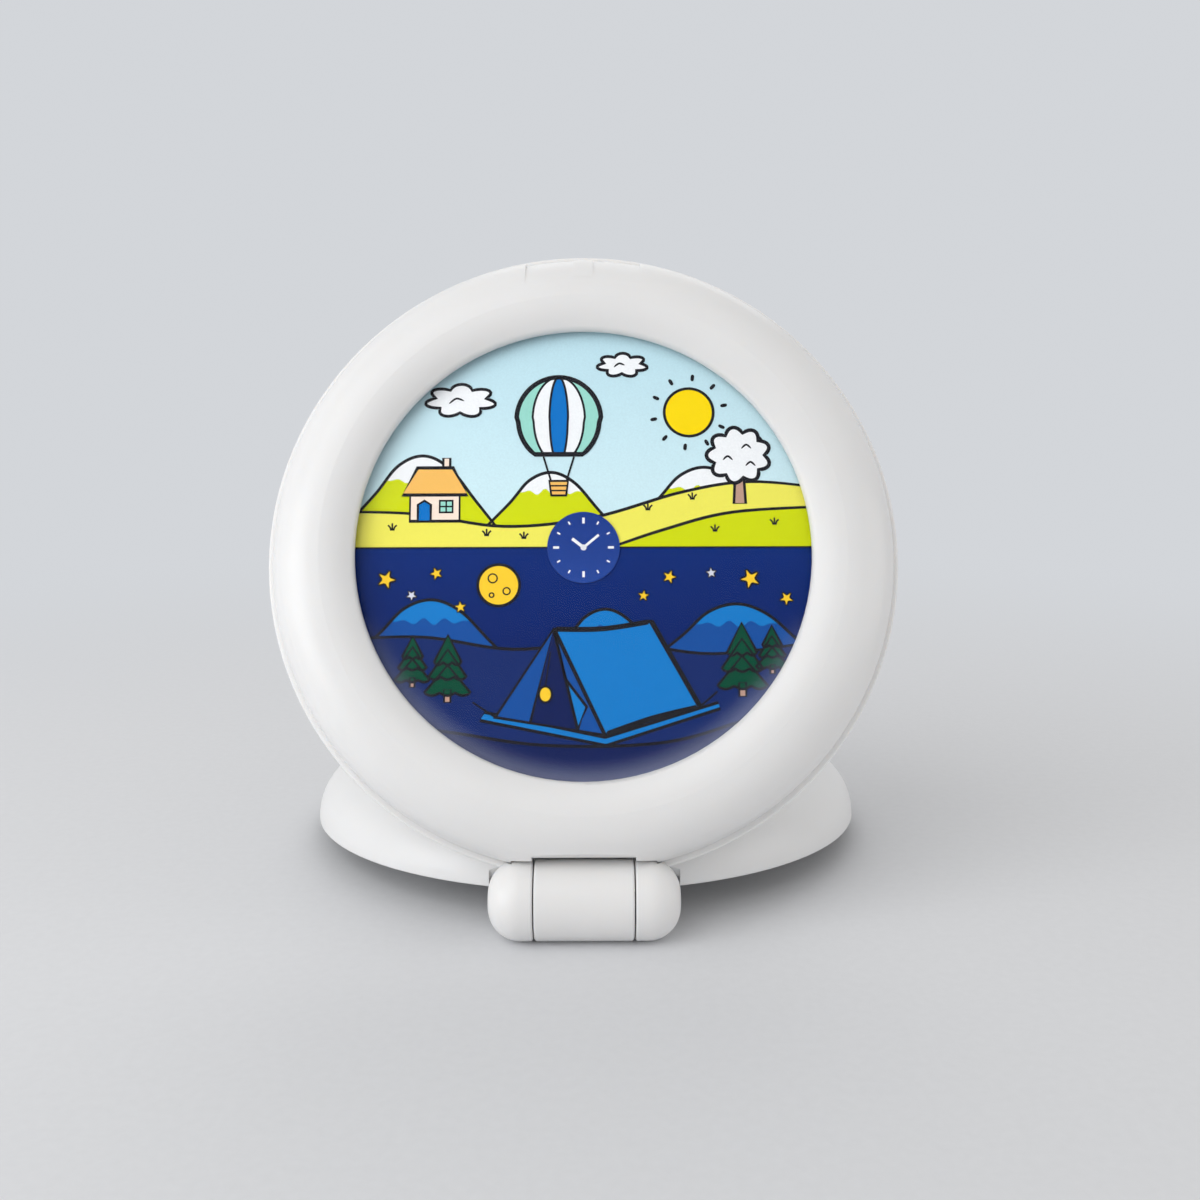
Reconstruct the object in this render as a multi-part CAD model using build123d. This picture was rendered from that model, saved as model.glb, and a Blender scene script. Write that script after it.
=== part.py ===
from build123d import *
from math import asin, atan2, cos, degrees, hypot, radians, sin, sqrt
import os

# Folding travel clock with a lit picture window.
# Units are millimetres. X runs along the hinge, +Y to the back, +Z up, table at Z = 0.
# The clock head and the cover are each drawn flat, in a frame of their own whose origin is
# the centre of the round shape, whose Y points away from the hinge and whose Z points out
# of the face. HEAD_PLACE and COVER_PLACE then stand them up in the open pose.

# ---------------------------------------------------------------- stance
BARREL_R = 8.0            # hinge barrel radius
FOOT_CUT = 0.15           # depth of the flat under the barrel that stands on the table
FACE_TILT = 19.5          # how far the head leans back from upright, degrees
HINGE_DROP = 5.5          # from the bezel's outer edge to the hinge axis

# ---------------------------------------------------------------- front bezel
BEZEL_R = 63.2            # outer radius at the parting line
BEZEL_WALL = 1.8
BEZEL_RIM = 1.0           # upright part of the rim, before the ring starts to curve
RING_OUTER = 10.8         # from the outer edge in to the highest line of the ring
RING_INNER = 6.7          # from that line in to the window
BEZEL_CREST_Z = 10.6      # height of that line above the parting plane
RIM_TIGHTER = 0.8         # how much less than its height the ring's radius is at the rim
SLOPE_ROUND = 11.0        # section radius from the crest down to the window
RIM_BEVEL = 0.35          # bevel on both rims that makes the fine groove at the parting line
LIP_R = 1.5               # rounding of the window's edge
LIP_LAND = 0.5            # straight edge of the window below that rounding
SPIGOT_WALL = 1.4         # ring that locates the bezel in the rear housing
SPIGOT_DEPTH = 1.2
SPIGOT_SET = 0.15         # how far its face stands in from the wall's inner face

# ---------------------------------------------------------------- stack behind the window
LENS_LAP = 2.0            # how far the lens runs under the window's lip
LENS_EDGE = 1.0           # lens thickness at its edge
LENS_CROWN = 0.75         # how far the lens domes up inside the window
SKIRT_WALL = 1.3          # bezel skirt round the lens and the light box
BADGE_R = 7.3
BADGE_V = 1.0             # badge centre above the window centre
BADGE_T = 0.25
PICTURE_T = 0.55
DIVIDE_V = 1.2            # line between the day and the night picture
DIFFUSER_T = 1.05
LIGHT_BOX_WALL = 1.3
LIGHT_BOX_FLOOR = 0.8
DIVIDER_WALL = 1.2
LED_BOARD_T = 1.35
LED_BOARD_INSET = 1.4     # from the light box's outside in to the board's edge
LED_SIZE = (3.5, 2.8, 1.6)
LED_HOLE_GAP = 0.5        # round each LED in the light box's floor
LED_PITCH = 20.0
DAY_LED_V = 22.0
NIGHT_LED_V = -20.0
LED_SCREW_GAP = 0.6       # between the light box's wall and its screw posts

# ---------------------------------------------------------------- rear housing
FLANGE_OVER = 1.4         # rim that shows all round the bezel, and that the cover closes on
FLANGE_T = 3.2
FLANGE_FLOOR = 1.8
FLANGE_EDGE = 0.8         # rounding of its rear edge
POT_INSET = 8.3           # from the bezel's edge in to the raised back, where it leaves the flange
POT_TAPER = 4.9           # how much its radius shrinks towards the flat back
POT_DEPTH = 16.0          # flat back below the parting plane
POT_WALL = 1.8
POT_CORNER = 3.5
COVE = 2.5

# ---------------------------------------------------------------- hinge
EAR_HALF = 19.05          # outer end of each ear from the middle
KNUCKLE_HALF = 9.8
KNUCKLE_GAP = 0.25        # between knuckle and ear, each side
EAR_ROUND = 6.5           # rounding of the ears' outer ends
BARREL_EDGE = 0.35        # bevel of the ends that face each other
BARREL_CLEAR = 0.35       # running room round the barrel
BEZEL_FLAT_S = 7.7        # bezel's flat bottom edge, from the hinge axis
BEZEL_FLAT_HALF = 14.4    # where that flat ends, from the middle
NOTCH_GAP = 0.4           # between the knuckle and the bezel's notch over it
NOTCH_FLARE = 0.7         # how far the notch's wall leans open towards the face
NOTCH_FLARE_H = 2.0       # height of the leaning part
HINGE_WALL = 1.9          # wall that closes the bezel behind the flat and the notch
EAR_WALL = 1.3            # how far the wall behind the knuckle runs on into each ear
SEAM = 0.12               # between the bezel's flat bottom edge and the ears
PIN_R = 1.5
PIN_HALF = 16.0
PIN_FIT = 0.02            # radial, in the ears
PIN_RUN = 0.05            # radial, in the knuckle

# ---------------------------------------------------------------- cover that is also the stand
COVER_ROOM = 1.1          # inside the shut cover, above the ring's highest line
COVER_RISE = 2.0          # how far the middle domes above the shoulder
COVER_WALL = 1.0
COVER_CROWN_EXTRA = 0.6   # extra wall at the middle
COVER_RIM_Z = 0.3         # rim above the parting plane when shut

# ---------------------------------------------------------------- latch
POCKET_HALF = 11.85       # shallow pocket in the bezel's top edge
POCKET_DEPTH = 0.35       # at the rim; it fades out towards the ring's highest line
POCKET_REACH = 7.2        # from the bezel's edge in to where it has faded out
NUB_HALF = 2.0
NUB_REACH = (6.7, 1.9)    # from the bezel's edge in to the nub's two ends
NUB_CORNER = 0.6
LATCH_CLEAR = 0.45        # sideways room of the cover's pad in the pocket
PAD_START = 1.0           # the pad starts this far above the cover's rim

# ---------------------------------------------------------------- boards and controls
CONTROL_T = 1.2
CONTROL_STAND = 3.6       # from the inside of the back to the control board
CONTROL_OVER = 2.5        # board beyond the display's upper edge
BOARD_ROOM = 0.5          # round the control board
BOARD_CORNER = 2.0
BOARD_EDGE = 2.4          # from the board's edges to its lower screws
LCD_SIZE = (40.0, 19.0, 1.9)
LCD_BORDER = 2.0          # edge of the display that the back hides
LCD_WINDOW_IN = 0.1       # from the display's edge in to its window's edge
LCD_WINDOW_T = 0.95
LCD_CORNER = (2.0, 1.5)   # corners of the window and of the opening
FIT_GAP = 0.1             # side clearance of a piece set in a recess
ZEBRA_W = 1.6
ZEBRA_END = 1.0
BUTTON_PITCH = 16.0
BUTTON_R = 3.8
BUTTON_CLEAR = 0.15
BUTTON_PROUD = 1.1
BUTTON_TRAVEL = 0.4
BUTTON_EDGE = 0.4
BUTTON_FLANGE = (4.6, 0.7)
BUTTON_STEM_R = 1.5
BUTTON_DISH = (2.7, 0.25)
SWITCH_BODY = (6.0, 6.0, 1.8)
SWITCH_TIP = (1.6, 0.6)
SLIDER_OUT = 7.6          # from the display's window to the slide switch
SLIDER_KNOB = (3.6, 4.4)
SLIDER_PROUD = 0.9
SLIDER_TRAVEL = 2.0
SLIDER_PLATE = (6.2, 0.65)
SLIDER_BODY = (6.0, 8.6)
SLIDER_DISH = (1.2, 0.6)  # finger recess round the slot: its width and depth
KNOB_GROOVE = (0.5, 0.3, 1.2)
SPEAKER_OUT = 7.6         # from the display's window to the speaker's middle
SPEAKER_R = 6.0
SPEAKER_RIM = 1.2
SPEAKER_H = 3.0
GRILLE_R = 5.0
GRILLE_SLOT = 1.0
GRILLE_PITCH = 2.0
GRILLE_SLOTS = 5
LINK_SOCKET = (13.0, 2.6)
LINK_HEADER = (14.0, 3.2, 1.6)
LINK_RISE = 4.9           # board link above the display's middle

# ---------------------------------------------------------------- batteries
CELL_R = 5.25             # AAA cells
CELL_L = 43.7
CELL_EDGE = 0.4
CELL_NUB = (1.9, 0.8)
CELL_PITCH = 11.2
CELL_COUNT = 3
BAY_SIDE = 0.6            # room beside the outer cells
BAY_WALL = 1.4
BAY_FLOOR = 1.2
BAY_ROOM = 0.25           # between the bay and the LED board
DOOR_T = 1.4
DOOR_LAP = 1.2            # ledge that carries the door
DOOR_CORNER = 2.0
DOOR_EDGE = 3.1           # from the rim of the back in to the door's corners
DOOR_ROOM = 0.15          # between the door and the cells
SPRING_L = 3.2
SPRING_R = 2.6
SPRING_TAPER = 0.5        # how much wider each turn is than the one before
SPRING_PLEAT = 0.5
SPRING_WALL = 0.5
SPRING_TURNS = 2
PLATE_T = 0.3
GRIP_SLOT = (16.0, 0.8, 0.35)
GRIP_PITCH = 1.8
GRIP_IN = 5.0             # from the bay's lower side to the middle grip slot

# ---------------------------------------------------------------- screws
HOUSING_SCREW_INSET = 5.0 # from the bezel's edge in to the housing screws
HOUSING_SCREW_HEAD = (1.9, 1.0)
HOUSING_SCREW_SHANK = (1.0, 6.5)
HOUSING_BOSS_R = 2.4
BOARD_SCREW_HEAD = (1.7, 0.9)
BOARD_SCREW_SHANK = (0.8, 3.0)
BOARD_POST_R = 2.2
UPPER_POST_IN = 5.4       # from the raised back's inner wall to the upper posts
UPPER_POST_ANGLE = 51.0
POST_GAP = 0.4            # between the lower posts and the outer buttons
DOOR_SCREW_OUT = 2.7      # from the door's edge to its screw
DOOR_SCREW_L = 4.5
DOOR_TAB_R = 3.6
DOOR_BOSS_R = 2.6
SCREW_ROOM = 0.3          # below a screw's tip
HEAD_GAP = 0.2            # round a screw head in its recess
HOLE_GAP = 0.15           # round a shank where it only passes through
PILOT_GAP = 0.02          # round a shank where it holds
SEAT_GAP = 0.05           # between stacked pieces

# ---------------------------------------------------------------- worked-out places
FACE_TURN = 90 - FACE_TILT
HINGE_HEIGHT = BARREL_R - FOOT_CUT
HINGE_TO_CENTRE = BEZEL_R + HINGE_DROP
FLANGE_R = BEZEL_R + FLANGE_OVER
COVER_R = FLANGE_R
RIM_REACH = HINGE_TO_CENTRE + COVER_R
# The cover slopes down until the far edge of its rim stands on the table.
COVER_SLOPE = degrees(asin(HINGE_HEIGHT / hypot(RIM_REACH, COVER_RIM_Z)) + atan2(COVER_RIM_Z, RIM_REACH))
HEAD_PLACE = Pos(0, 0, HINGE_HEIGHT) * Rot(FACE_TURN, 0, 0) * Pos(0, HINGE_TO_CENTRE, 0)
COVER_PLACE = Pos(0, 0, HINGE_HEIGHT) * Rot(-COVER_SLOPE, 0, 0) * Pos(0, HINGE_TO_CENTRE, 0)
CREST_R = BEZEL_R - RING_OUTER
WINDOW_R = CREST_R - RING_INNER
RING_HEIGHT = BEZEL_CREST_Z - BEZEL_RIM
RIM_ROUND = RING_HEIGHT - RIM_TIGHTER
LIP_REACH = SLOPE_ROUND - LIP_R
LIP_Z = BEZEL_CREST_Z - SLOPE_ROUND + sqrt(LIP_REACH**2 - (RING_INNER - LIP_R) ** 2)
LENS_SEAT_Z = LIP_Z - LIP_LAND
LENS_SEAT_R = WINDOW_R + LENS_LAP
SPIGOT_R = BEZEL_R - BEZEL_WALL - SPIGOT_SET
SKIRT_R = LENS_SEAT_R + SKIRT_WALL
STACK_R = LENS_SEAT_R - FIT_GAP
POT_BASE_R = BEZEL_R - POT_INSET
POT_BACK_R = POT_BASE_R - POT_TAPER
POT_INNER_R = POT_BACK_R - POT_WALL
BACK_Z = -POT_DEPTH
BACK_INNER_Z = BACK_Z + POT_WALL
FLANGE_INNER_Z = -FLANGE_T + FLANGE_FLOOR
KNUCKLE_ROOM = KNUCKLE_HALF + KNUCKLE_GAP
NOTCH_HALF = KNUCKLE_HALF + NOTCH_GAP
NOTCH_S = BARREL_R + NOTCH_GAP
COVER_CORNER = BEZEL_CREST_Z - COVER_RIM_Z + COVER_ROOM + COVER_WALL
COVER_SHOULDER_R = COVER_R - COVER_CORNER
POCKET_V = BEZEL_R - POCKET_REACH
NUB_V = (BEZEL_R - NUB_REACH[0], BEZEL_R - NUB_REACH[1])
CELL_Z = BACK_Z + DOOR_T + DOOR_ROOM + CELL_R
BAY_TOP_Z = CELL_Z + CELL_R + FIT_GAP
BAY_HALF_V = (CELL_COUNT - 1) / 2 * CELL_PITCH + CELL_R + BAY_SIDE
BAY_HALF_L = CELL_L / 2 + SEAT_GAP + SPRING_L + FIT_GAP + PLATE_T
DOOR_HALF_L = BAY_HALF_L + DOOR_LAP
DOOR_HALF_V = BAY_HALF_V + DOOR_LAP
# The door's lower corners come as near to the rim of the back as DOOR_EDGE allows.
DOOR_CORNER_V = sqrt((POT_BACK_R - DOOR_EDGE - DOOR_CORNER) ** 2 - (DOOR_HALF_L - DOOR_CORNER) ** 2)
BAY_V = DOOR_HALF_V - DOOR_CORNER - DOOR_CORNER_V
DOOR_TOP_V = BAY_V + DOOR_HALF_V
DOOR_SCREW_V = DOOR_TOP_V + DOOR_SCREW_OUT
LCD_VIEW = (LCD_SIZE[0] - 2 * LCD_BORDER, LCD_SIZE[1] - 2 * LCD_BORDER)
LCD_WINDOW = (LCD_SIZE[0] - 2 * LCD_WINDOW_IN, LCD_SIZE[1] - 2 * LCD_WINDOW_IN, LCD_WINDOW_T)
# Buttons and display share out the height that the battery door leaves.
BACK_TOP_V = sqrt((POT_BACK_R - POT_CORNER) ** 2 - (LCD_WINDOW[0] / 2) ** 2)
ROW_GAP = (BACK_TOP_V - DOOR_TOP_V - 2 * BUTTON_R - LCD_WINDOW[1]) / 3
BUTTON_V = DOOR_TOP_V + ROW_GAP + BUTTON_R
LCD_V = BUTTON_V + BUTTON_R + ROW_GAP + LCD_WINDOW[1] / 2
LINK_V = LCD_V + LINK_RISE
CONTROL_Z = BACK_INNER_Z + CONTROL_STAND
CONTROL_LOW = DOOR_SCREW_V + DOOR_BOSS_R + BOARD_ROOM
CONTROL_HIGH = LCD_V + LCD_SIZE[1] / 2 + CONTROL_OVER
LOWER_POST_X = 1.5 * BUTTON_PITCH + BUTTON_FLANGE[0] + BOARD_POST_R + POST_GAP
LOWER_POST_V = CONTROL_LOW + BOARD_EDGE
CONTROL_HALF = LOWER_POST_X + BOARD_EDGE
UPPER_POST_R = POT_INNER_R - UPPER_POST_IN
UPPER_POST_V = UPPER_POST_R * sin(radians(UPPER_POST_ANGLE))
# Slide switch and speaker stand beside the display, midway between the board's posts.
SLIDER_X = -(LCD_WINDOW[0] / 2 + SLIDER_OUT)
SLIDER_MIDDLE = (LOWER_POST_V + UPPER_POST_V) / 2
SLIDER_V = SLIDER_MIDDLE - SLIDER_TRAVEL / 2
SPEAKER_X = LCD_WINDOW[0] / 2 + SPEAKER_OUT
SPEAKER_V = SLIDER_MIDDLE
LENS_BACK_Z = LENS_SEAT_Z - SEAT_GAP - LENS_EDGE
BADGE_Z = LENS_BACK_Z - SEAT_GAP - BADGE_T
PICTURE_Z = BADGE_Z - SEAT_GAP / 2 - PICTURE_T
DIFFUSER_Z = PICTURE_Z - SEAT_GAP - DIFFUSER_T
LED_BOARD_Z = BAY_TOP_Z + BAY_FLOOR + BAY_ROOM
LIGHT_BOX_Z = LED_BOARD_Z + LED_BOARD_T + SEAT_GAP
LIGHT_BOX_TOP = DIFFUSER_Z - SEAT_GAP
LED_BOARD_R = STACK_R - LED_BOARD_INSET
LED_SCREW_R = STACK_R - LIGHT_BOX_WALL - LED_SCREW_GAP - BOARD_POST_R
HOUSING_SCREW_R = BEZEL_R - HOUSING_SCREW_INSET
SCREW_ANGLES = (45, 135, 225, 315)
LED_SCREW_ANGLES = (90, 210, 330)


# ---------------------------------------------------------------- small helpers
def turned(outline):
    """Solid of revolution about Z of a closed outline given as (radius, height) edges."""
    return revolve(Plane.XZ * make_face(outline), Axis.Z)


def section(corners, rounds=(), bevels=()):
    """Closed outline through the corners, some of them rounded or bevelled by the size given."""
    face = make_face(Polyline(*corners, close=True))
    for corner, radius in rounds:
        face = fillet(face.vertices().sort_by_distance((*corner, 0))[0], radius)
    for corner, length in bevels:
        face = chamfer(face.vertices().sort_by_distance((*corner, 0))[0], length)
    return revolve(Plane.XZ * face, Axis.Z)


def block(x0, x1, y0, y1, z0, z1):
    """Box between two corners."""
    size = (x1 - x0, y1 - y0, z1 - z0)
    return Pos((x0 + x1) / 2, (y0 + y1) / 2, (z0 + z1) / 2) * Box(*size)


def disc(radius, z0, z1, x=0.0, y=0.0):
    """Upright cylinder from z0 to z1."""
    return Pos(x, y, (z0 + z1) / 2) * Cylinder(radius, z1 - z0)


def ring(outer, inner, z0, z1):
    return disc(outer, z0, z1) - disc(inner, z0 - 1, z1 + 1)


def along_hinge(radius, x0, x1):
    """Cylinder about the hinge axis, in the flat frame of the head or the cover."""
    return Pos((x0 + x1) / 2, -HINGE_TO_CENTRE, 0) * Rot(0, 90, 0) * Cylinder(radius, x1 - x0)


def rounded_plate(width, height, radius, z0, z1, x=0.0, y=0.0):
    outline = Pos(x, y, z0) * RectangleRounded(width, height, radius)
    return extrude(outline, z1 - z0)


def polar(radius, angle):
    return radius * cos(radians(angle)), radius * sin(radians(angle))


def board_posts():
    """Places of the control board's four screw posts."""
    x, y = polar(UPPER_POST_R, UPPER_POST_ANGLE)
    return [(-LOWER_POST_X, LOWER_POST_V), (LOWER_POST_X, LOWER_POST_V), (-x, y), (x, y)]


def heal(shape):
    """The single solid of a boolean result, or a compound of its solids."""
    solids = shape.solids()
    return solids[0] if len(solids) == 1 else Compound(children=list(solids))


# ---------------------------------------------------------------- front bezel
def flank(inset=0.0, rim_depth=0.0):
    """Two tangent arcs of the ring's section, from its outer edge up to the highest line.

    inset moves both arcs inwards; rim_depth shrinks the outer edge and leaves the highest line.
    """
    edge_r = RIM_ROUND - rim_depth
    width = RING_OUTER - rim_depth - edge_r
    crest_r = (width**2 + RING_HEIGHT**2 - edge_r**2) / (2 * (RING_HEIGHT - edge_r))
    edge_centre = (CREST_R + width, BEZEL_RIM)
    crest_centre = (CREST_R, BEZEL_CREST_Z - crest_r)
    meet = degrees(atan2(BEZEL_RIM - crest_centre[1], width))
    return [
        CenterArc(edge_centre, edge_r - inset, 0, meet),
        CenterArc(crest_centre, crest_r - inset, meet, 90 - meet),
    ]


def face_height(radius):
    """Height of the ring's outer flank at a radius from the centre."""
    edge, crest = flank()
    arc = edge if radius > (edge @ 1).X else crest
    return arc.arc_center.Y + sqrt(arc.radius**2 - (radius - arc.arc_center.X) ** 2)


def slope(inset, turn):
    """Arc of the ring's section from the highest line down towards the window."""
    return CenterArc((CREST_R, BEZEL_CREST_Z - SLOPE_ROUND), SLOPE_ROUND - inset, 90, turn)


def filled_ring():
    """The ring with no hollow, from the parting plane up."""
    turn = degrees(asin((RING_INNER - LIP_R) / LIP_REACH))
    lip = CenterArc((WINDOW_R + LIP_R, LIP_Z), LIP_R, 90 + turn, 90 - turn)
    edges = [*flank(), slope(0.0, turn), lip]
    start = edges[0] @ 0
    rim = [(start.X - RIM_BEVEL, 0), (start.X, RIM_BEVEL), (start.X, start.Y)]
    return turned([*edges, Polyline((WINDOW_R, LIP_Z), (WINDOW_R, 0), *rim)])


def ring_hollow():
    """Space between the ring's skin and the skirt that holds the lens."""
    edges = flank(BEZEL_WALL)
    turn = degrees(asin((CREST_R - SKIRT_R) / (SLOPE_ROUND - BEZEL_WALL)))
    edges.append(slope(BEZEL_WALL, turn))
    start = edges[0] @ 0
    end = edges[-1] @ 1
    corners = [(end.X, end.Y), (end.X, -1), (start.X, -1), (start.X, start.Y)]
    return turned([*edges, Polyline(*corners)])


def latch_pocket():
    """Shallow pocket in the ring's top edge, fading out towards its highest line.

    The nub left standing in it centres the cover.
    """
    deep = flank(POCKET_DEPTH)[0]
    floor = ThreePointArc(deep @ 0, deep @ 1, (POCKET_V, face_height(POCKET_V)))
    above = BEZEL_CREST_Z + 1
    outside = BEZEL_R + 1
    start = deep @ 0
    end = floor @ 1
    over = [(end.X, end.Y), (end.X, above), (outside, above)]
    pocket = turned([floor, Polyline(*over, (outside, -1), (start.X, -1), (start.X, start.Y))])
    pocket = pocket & block(-POCKET_HALF, POCKET_HALF, 0, outside, -1, above)
    nub_height = NUB_V[1] - NUB_V[0]
    return pocket - rounded_plate(2 * NUB_HALF, nub_height, NUB_CORNER, 0, above, 0, sum(NUB_V) / 2)


def hinge_notch():
    """Notch over the knuckle, whose wall leans open towards the face of the ring."""
    beyond = -BEZEL_R - 1
    inner_v = NOTCH_S - HINGE_TO_CENTRE
    outer_v = inner_v + NOTCH_FLARE
    face_z = face_height(-outer_v)
    side = Polyline(
        (beyond, -FLANGE_T), (inner_v, -FLANGE_T), (inner_v, face_z - NOTCH_FLARE_H),
        (outer_v, face_z), (outer_v, BEZEL_CREST_Z), (beyond, BEZEL_CREST_Z), close=True,
    )
    return extrude(Plane.YZ * make_face(side), NOTCH_HALF, both=True)


def front_bezel():
    filled = filled_ring()
    flat_v = BEZEL_FLAT_S - HINGE_TO_CENTRE
    notch_v = NOTCH_S - HINGE_TO_CENTRE
    top = BEZEL_CREST_Z + 1
    shell = filled - ring_hollow() - disc(LENS_SEAT_R, -1, LENS_SEAT_Z)
    shell += ring(SKIRT_R, LENS_SEAT_R, LED_BOARD_Z + LED_BOARD_T / 2, 0)
    spigot = ring(SPIGOT_R, SPIGOT_R - SPIGOT_WALL, -SPIGOT_DEPTH, 0)
    spigot += ring(SPIGOT_R + 2 * SPIGOT_SET, SPIGOT_R - SPIGOT_WALL, 0, BEZEL_RIM)
    wall_half = NOTCH_HALF + 2 * HINGE_WALL
    wall_top = notch_v + HINGE_WALL
    shell += spigot - block(-wall_half, wall_half, -BEZEL_R, wall_top + HINGE_WALL, -top, top)
    shell += filled & block(-wall_half - HINGE_WALL, wall_half + HINGE_WALL, -BEZEL_R, wall_top, -1, top)
    tip = housing_screw_tip() + SCREW_ROOM
    for angle in SCREW_ANGLES:
        x, y = polar(HOUSING_SCREW_R, angle)
        shell += disc(HOUSING_BOSS_R, FLANGE_INNER_Z + SEAT_GAP, BEZEL_RIM, x, y)
        shell += filled & disc(HOUSING_BOSS_R, 0, top, x, y)
        shell -= disc(HOUSING_SCREW_SHANK[0] + PILOT_GAP, -FLANGE_T, tip, x, y)
    shell -= block(-BEZEL_FLAT_HALF, BEZEL_FLAT_HALF, -BEZEL_R - 1, flat_v, -top, top)
    return heal(shell - hinge_notch() - latch_pocket())


# ---------------------------------------------------------------- window stack
def window_lens():
    """Clear disc, domed where it shows in the window."""
    dome_foot = WINDOW_R - FIT_GAP
    top = LENS_SEAT_Z - SEAT_GAP
    dome_r = (dome_foot**2 + LENS_CROWN**2) / (2 * LENS_CROWN)
    span = degrees(asin(dome_foot / dome_r))
    dome = CenterArc((0, top + LENS_CROWN - dome_r), dome_r, 90 - span, span)
    back = LENS_BACK_Z
    corners = [(dome_foot, top), (STACK_R, top), (STACK_R, back), (0, back), (0, top + LENS_CROWN)]
    return turned([dome, Polyline(*corners)])


def half_disc(radius, z0, z1, upper, gap):
    """Part of a disc above or below the line between the pictures."""
    if upper:
        keep = block(-radius, radius, DIVIDE_V + gap, radius, z0, z1)
    else:
        keep = block(-radius, radius, -radius, DIVIDE_V - gap, z0, z1)
    return heal(disc(radius, z0, z1) & keep)


def picture(upper):
    return half_disc(STACK_R, PICTURE_Z, PICTURE_Z + PICTURE_T, upper, 0.01)


def centre_badge():
    return disc(BADGE_R, BADGE_Z, BADGE_Z + BADGE_T, 0, BADGE_V)


def picture_diffuser():
    return disc(STACK_R, DIFFUSER_Z, DIFFUSER_Z + DIFFUSER_T)


def led_places(v):
    return [(step * LED_PITCH, v) for step in (-1, 0, 1)]


def light_box():
    """White tray with one chamber behind each picture."""
    top = LIGHT_BOX_TOP
    tray = ring(STACK_R, STACK_R - LIGHT_BOX_WALL, LIGHT_BOX_Z, top)
    tray += disc(STACK_R - LIGHT_BOX_WALL / 2, LIGHT_BOX_Z, LIGHT_BOX_Z + LIGHT_BOX_FLOOR)
    reach = STACK_R - LIGHT_BOX_WALL / 2
    half = DIVIDER_WALL / 2
    tray += block(-reach, reach, DIVIDE_V - half, DIVIDE_V + half, LIGHT_BOX_Z, top)
    for angle in LED_SCREW_ANGLES:
        x, y = polar(LED_SCREW_R, angle)
        tray += disc(BOARD_POST_R, LIGHT_BOX_Z, top, x, y)
        tip = LED_BOARD_Z + BOARD_SCREW_SHANK[1] + SCREW_ROOM
        tray -= disc(BOARD_SCREW_SHANK[0] + PILOT_GAP, LIGHT_BOX_Z - 1, tip, x, y)
    for x, y in led_places(DAY_LED_V) + led_places(NIGHT_LED_V):
        width = LED_SIZE[0] + 2 * LED_HOLE_GAP
        depth = LED_SIZE[1] + 2 * LED_HOLE_GAP
        tray -= Pos(x, y, LIGHT_BOX_Z) * Box(width, depth, 3 * LIGHT_BOX_FLOOR)
    return heal(tray)


def led_board():
    board = disc(LED_BOARD_R, LED_BOARD_Z, LED_BOARD_Z + LED_BOARD_T)
    for angle in LED_SCREW_ANGLES:
        x, y = polar(LED_SCREW_R, angle)
        board -= disc(BOARD_SCREW_SHANK[0] + HOLE_GAP, LED_BOARD_Z - 1, LIGHT_BOX_Z, x, y)
    return heal(board)


def leds(v):
    """Row of surface-mounted light-emitting diodes."""
    z = LED_BOARD_Z + LED_BOARD_T
    row = []
    for x, y in led_places(v):
        package = Pos(x, y, z + LED_SIZE[2] / 2) * Box(*LED_SIZE)
        row.append(heal(chamfer(package.edges().filter_by(Axis.Z), 0.3)))
    return Compound(children=row)


# ---------------------------------------------------------------- rear housing
def housing_shell():
    """Flange and raised back as a solid, and the space inside them."""
    edge = (FLANGE_R, -FLANGE_T)
    cove = (POT_BASE_R, -FLANGE_T)
    corner = (POT_BACK_R, BACK_Z)
    rim = (FLANGE_R, 0)
    outer = section(
        [(0, 0), rim, edge, cove, corner, (0, BACK_Z)],
        rounds=[(edge, FLANGE_EDGE), (cove, COVE), (corner, POT_CORNER)],
        bevels=[(rim, RIM_BEVEL)],
    )
    seat_r = SPIGOT_R + FIT_GAP
    inner_base = (POT_BASE_R - POT_WALL, FLANGE_INNER_Z)
    inner = section([
        (0, 1), (seat_r, 1), (seat_r, FLANGE_INNER_Z), inner_base,
        (POT_INNER_R, BACK_INNER_Z), (0, BACK_INNER_Z),
    ])
    return outer, inner


def ear(side):
    """Hinge ear: a stretch of the barrel with a rounded outer end."""
    barrel = along_hinge(BARREL_R, KNUCKLE_ROOM, EAR_HALF)
    barrel = chamfer(barrel.edges().sort_by(Axis.X)[0], BARREL_EDGE)
    barrel = fillet(barrel.edges().filter_by(GeomType.CIRCLE).sort_by(Axis.X)[-1], EAR_ROUND)
    return barrel if side > 0 else mirror(barrel, Plane.YZ)


def foot_cut(turn):
    """Everything below the table, in the flat frame that a turn about X stands up."""
    half = 2 * EAR_HALF
    below = block(-half, half, -BARREL_R, BARREL_R, -2 * BARREL_R, -HINGE_HEIGHT)
    return Pos(0, -HINGE_TO_CENTRE, 0) * Rot(-turn, 0, 0) * below


def rear_housing():
    outer, inner = housing_shell()
    body = outer - inner
    body = add_battery_bay(body, inner)
    tip = CONTROL_Z + CONTROL_T + SEAT_GAP - BOARD_SCREW_SHANK[1] - SCREW_ROOM
    for x, y in board_posts():
        body += disc(BOARD_POST_R, BACK_INNER_Z - POT_WALL / 2, CONTROL_Z - SEAT_GAP, x, y)
        body -= disc(BOARD_SCREW_SHANK[0] + PILOT_GAP, tip, CONTROL_Z, x, y)
    body = cut_controls(body)
    body = add_hinge_ears(body)
    for angle in SCREW_ANGLES:
        x, y = polar(HOUSING_SCREW_R, angle)
        head_r, head_h = HOUSING_SCREW_HEAD
        body -= disc(HOUSING_SCREW_SHANK[0] + HOLE_GAP, -FLANGE_T - 1, 1, x, y)
        body -= disc(head_r + HEAD_GAP, -POT_DEPTH, -FLANGE_T + head_h, x, y)
    return heal(body)


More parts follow.
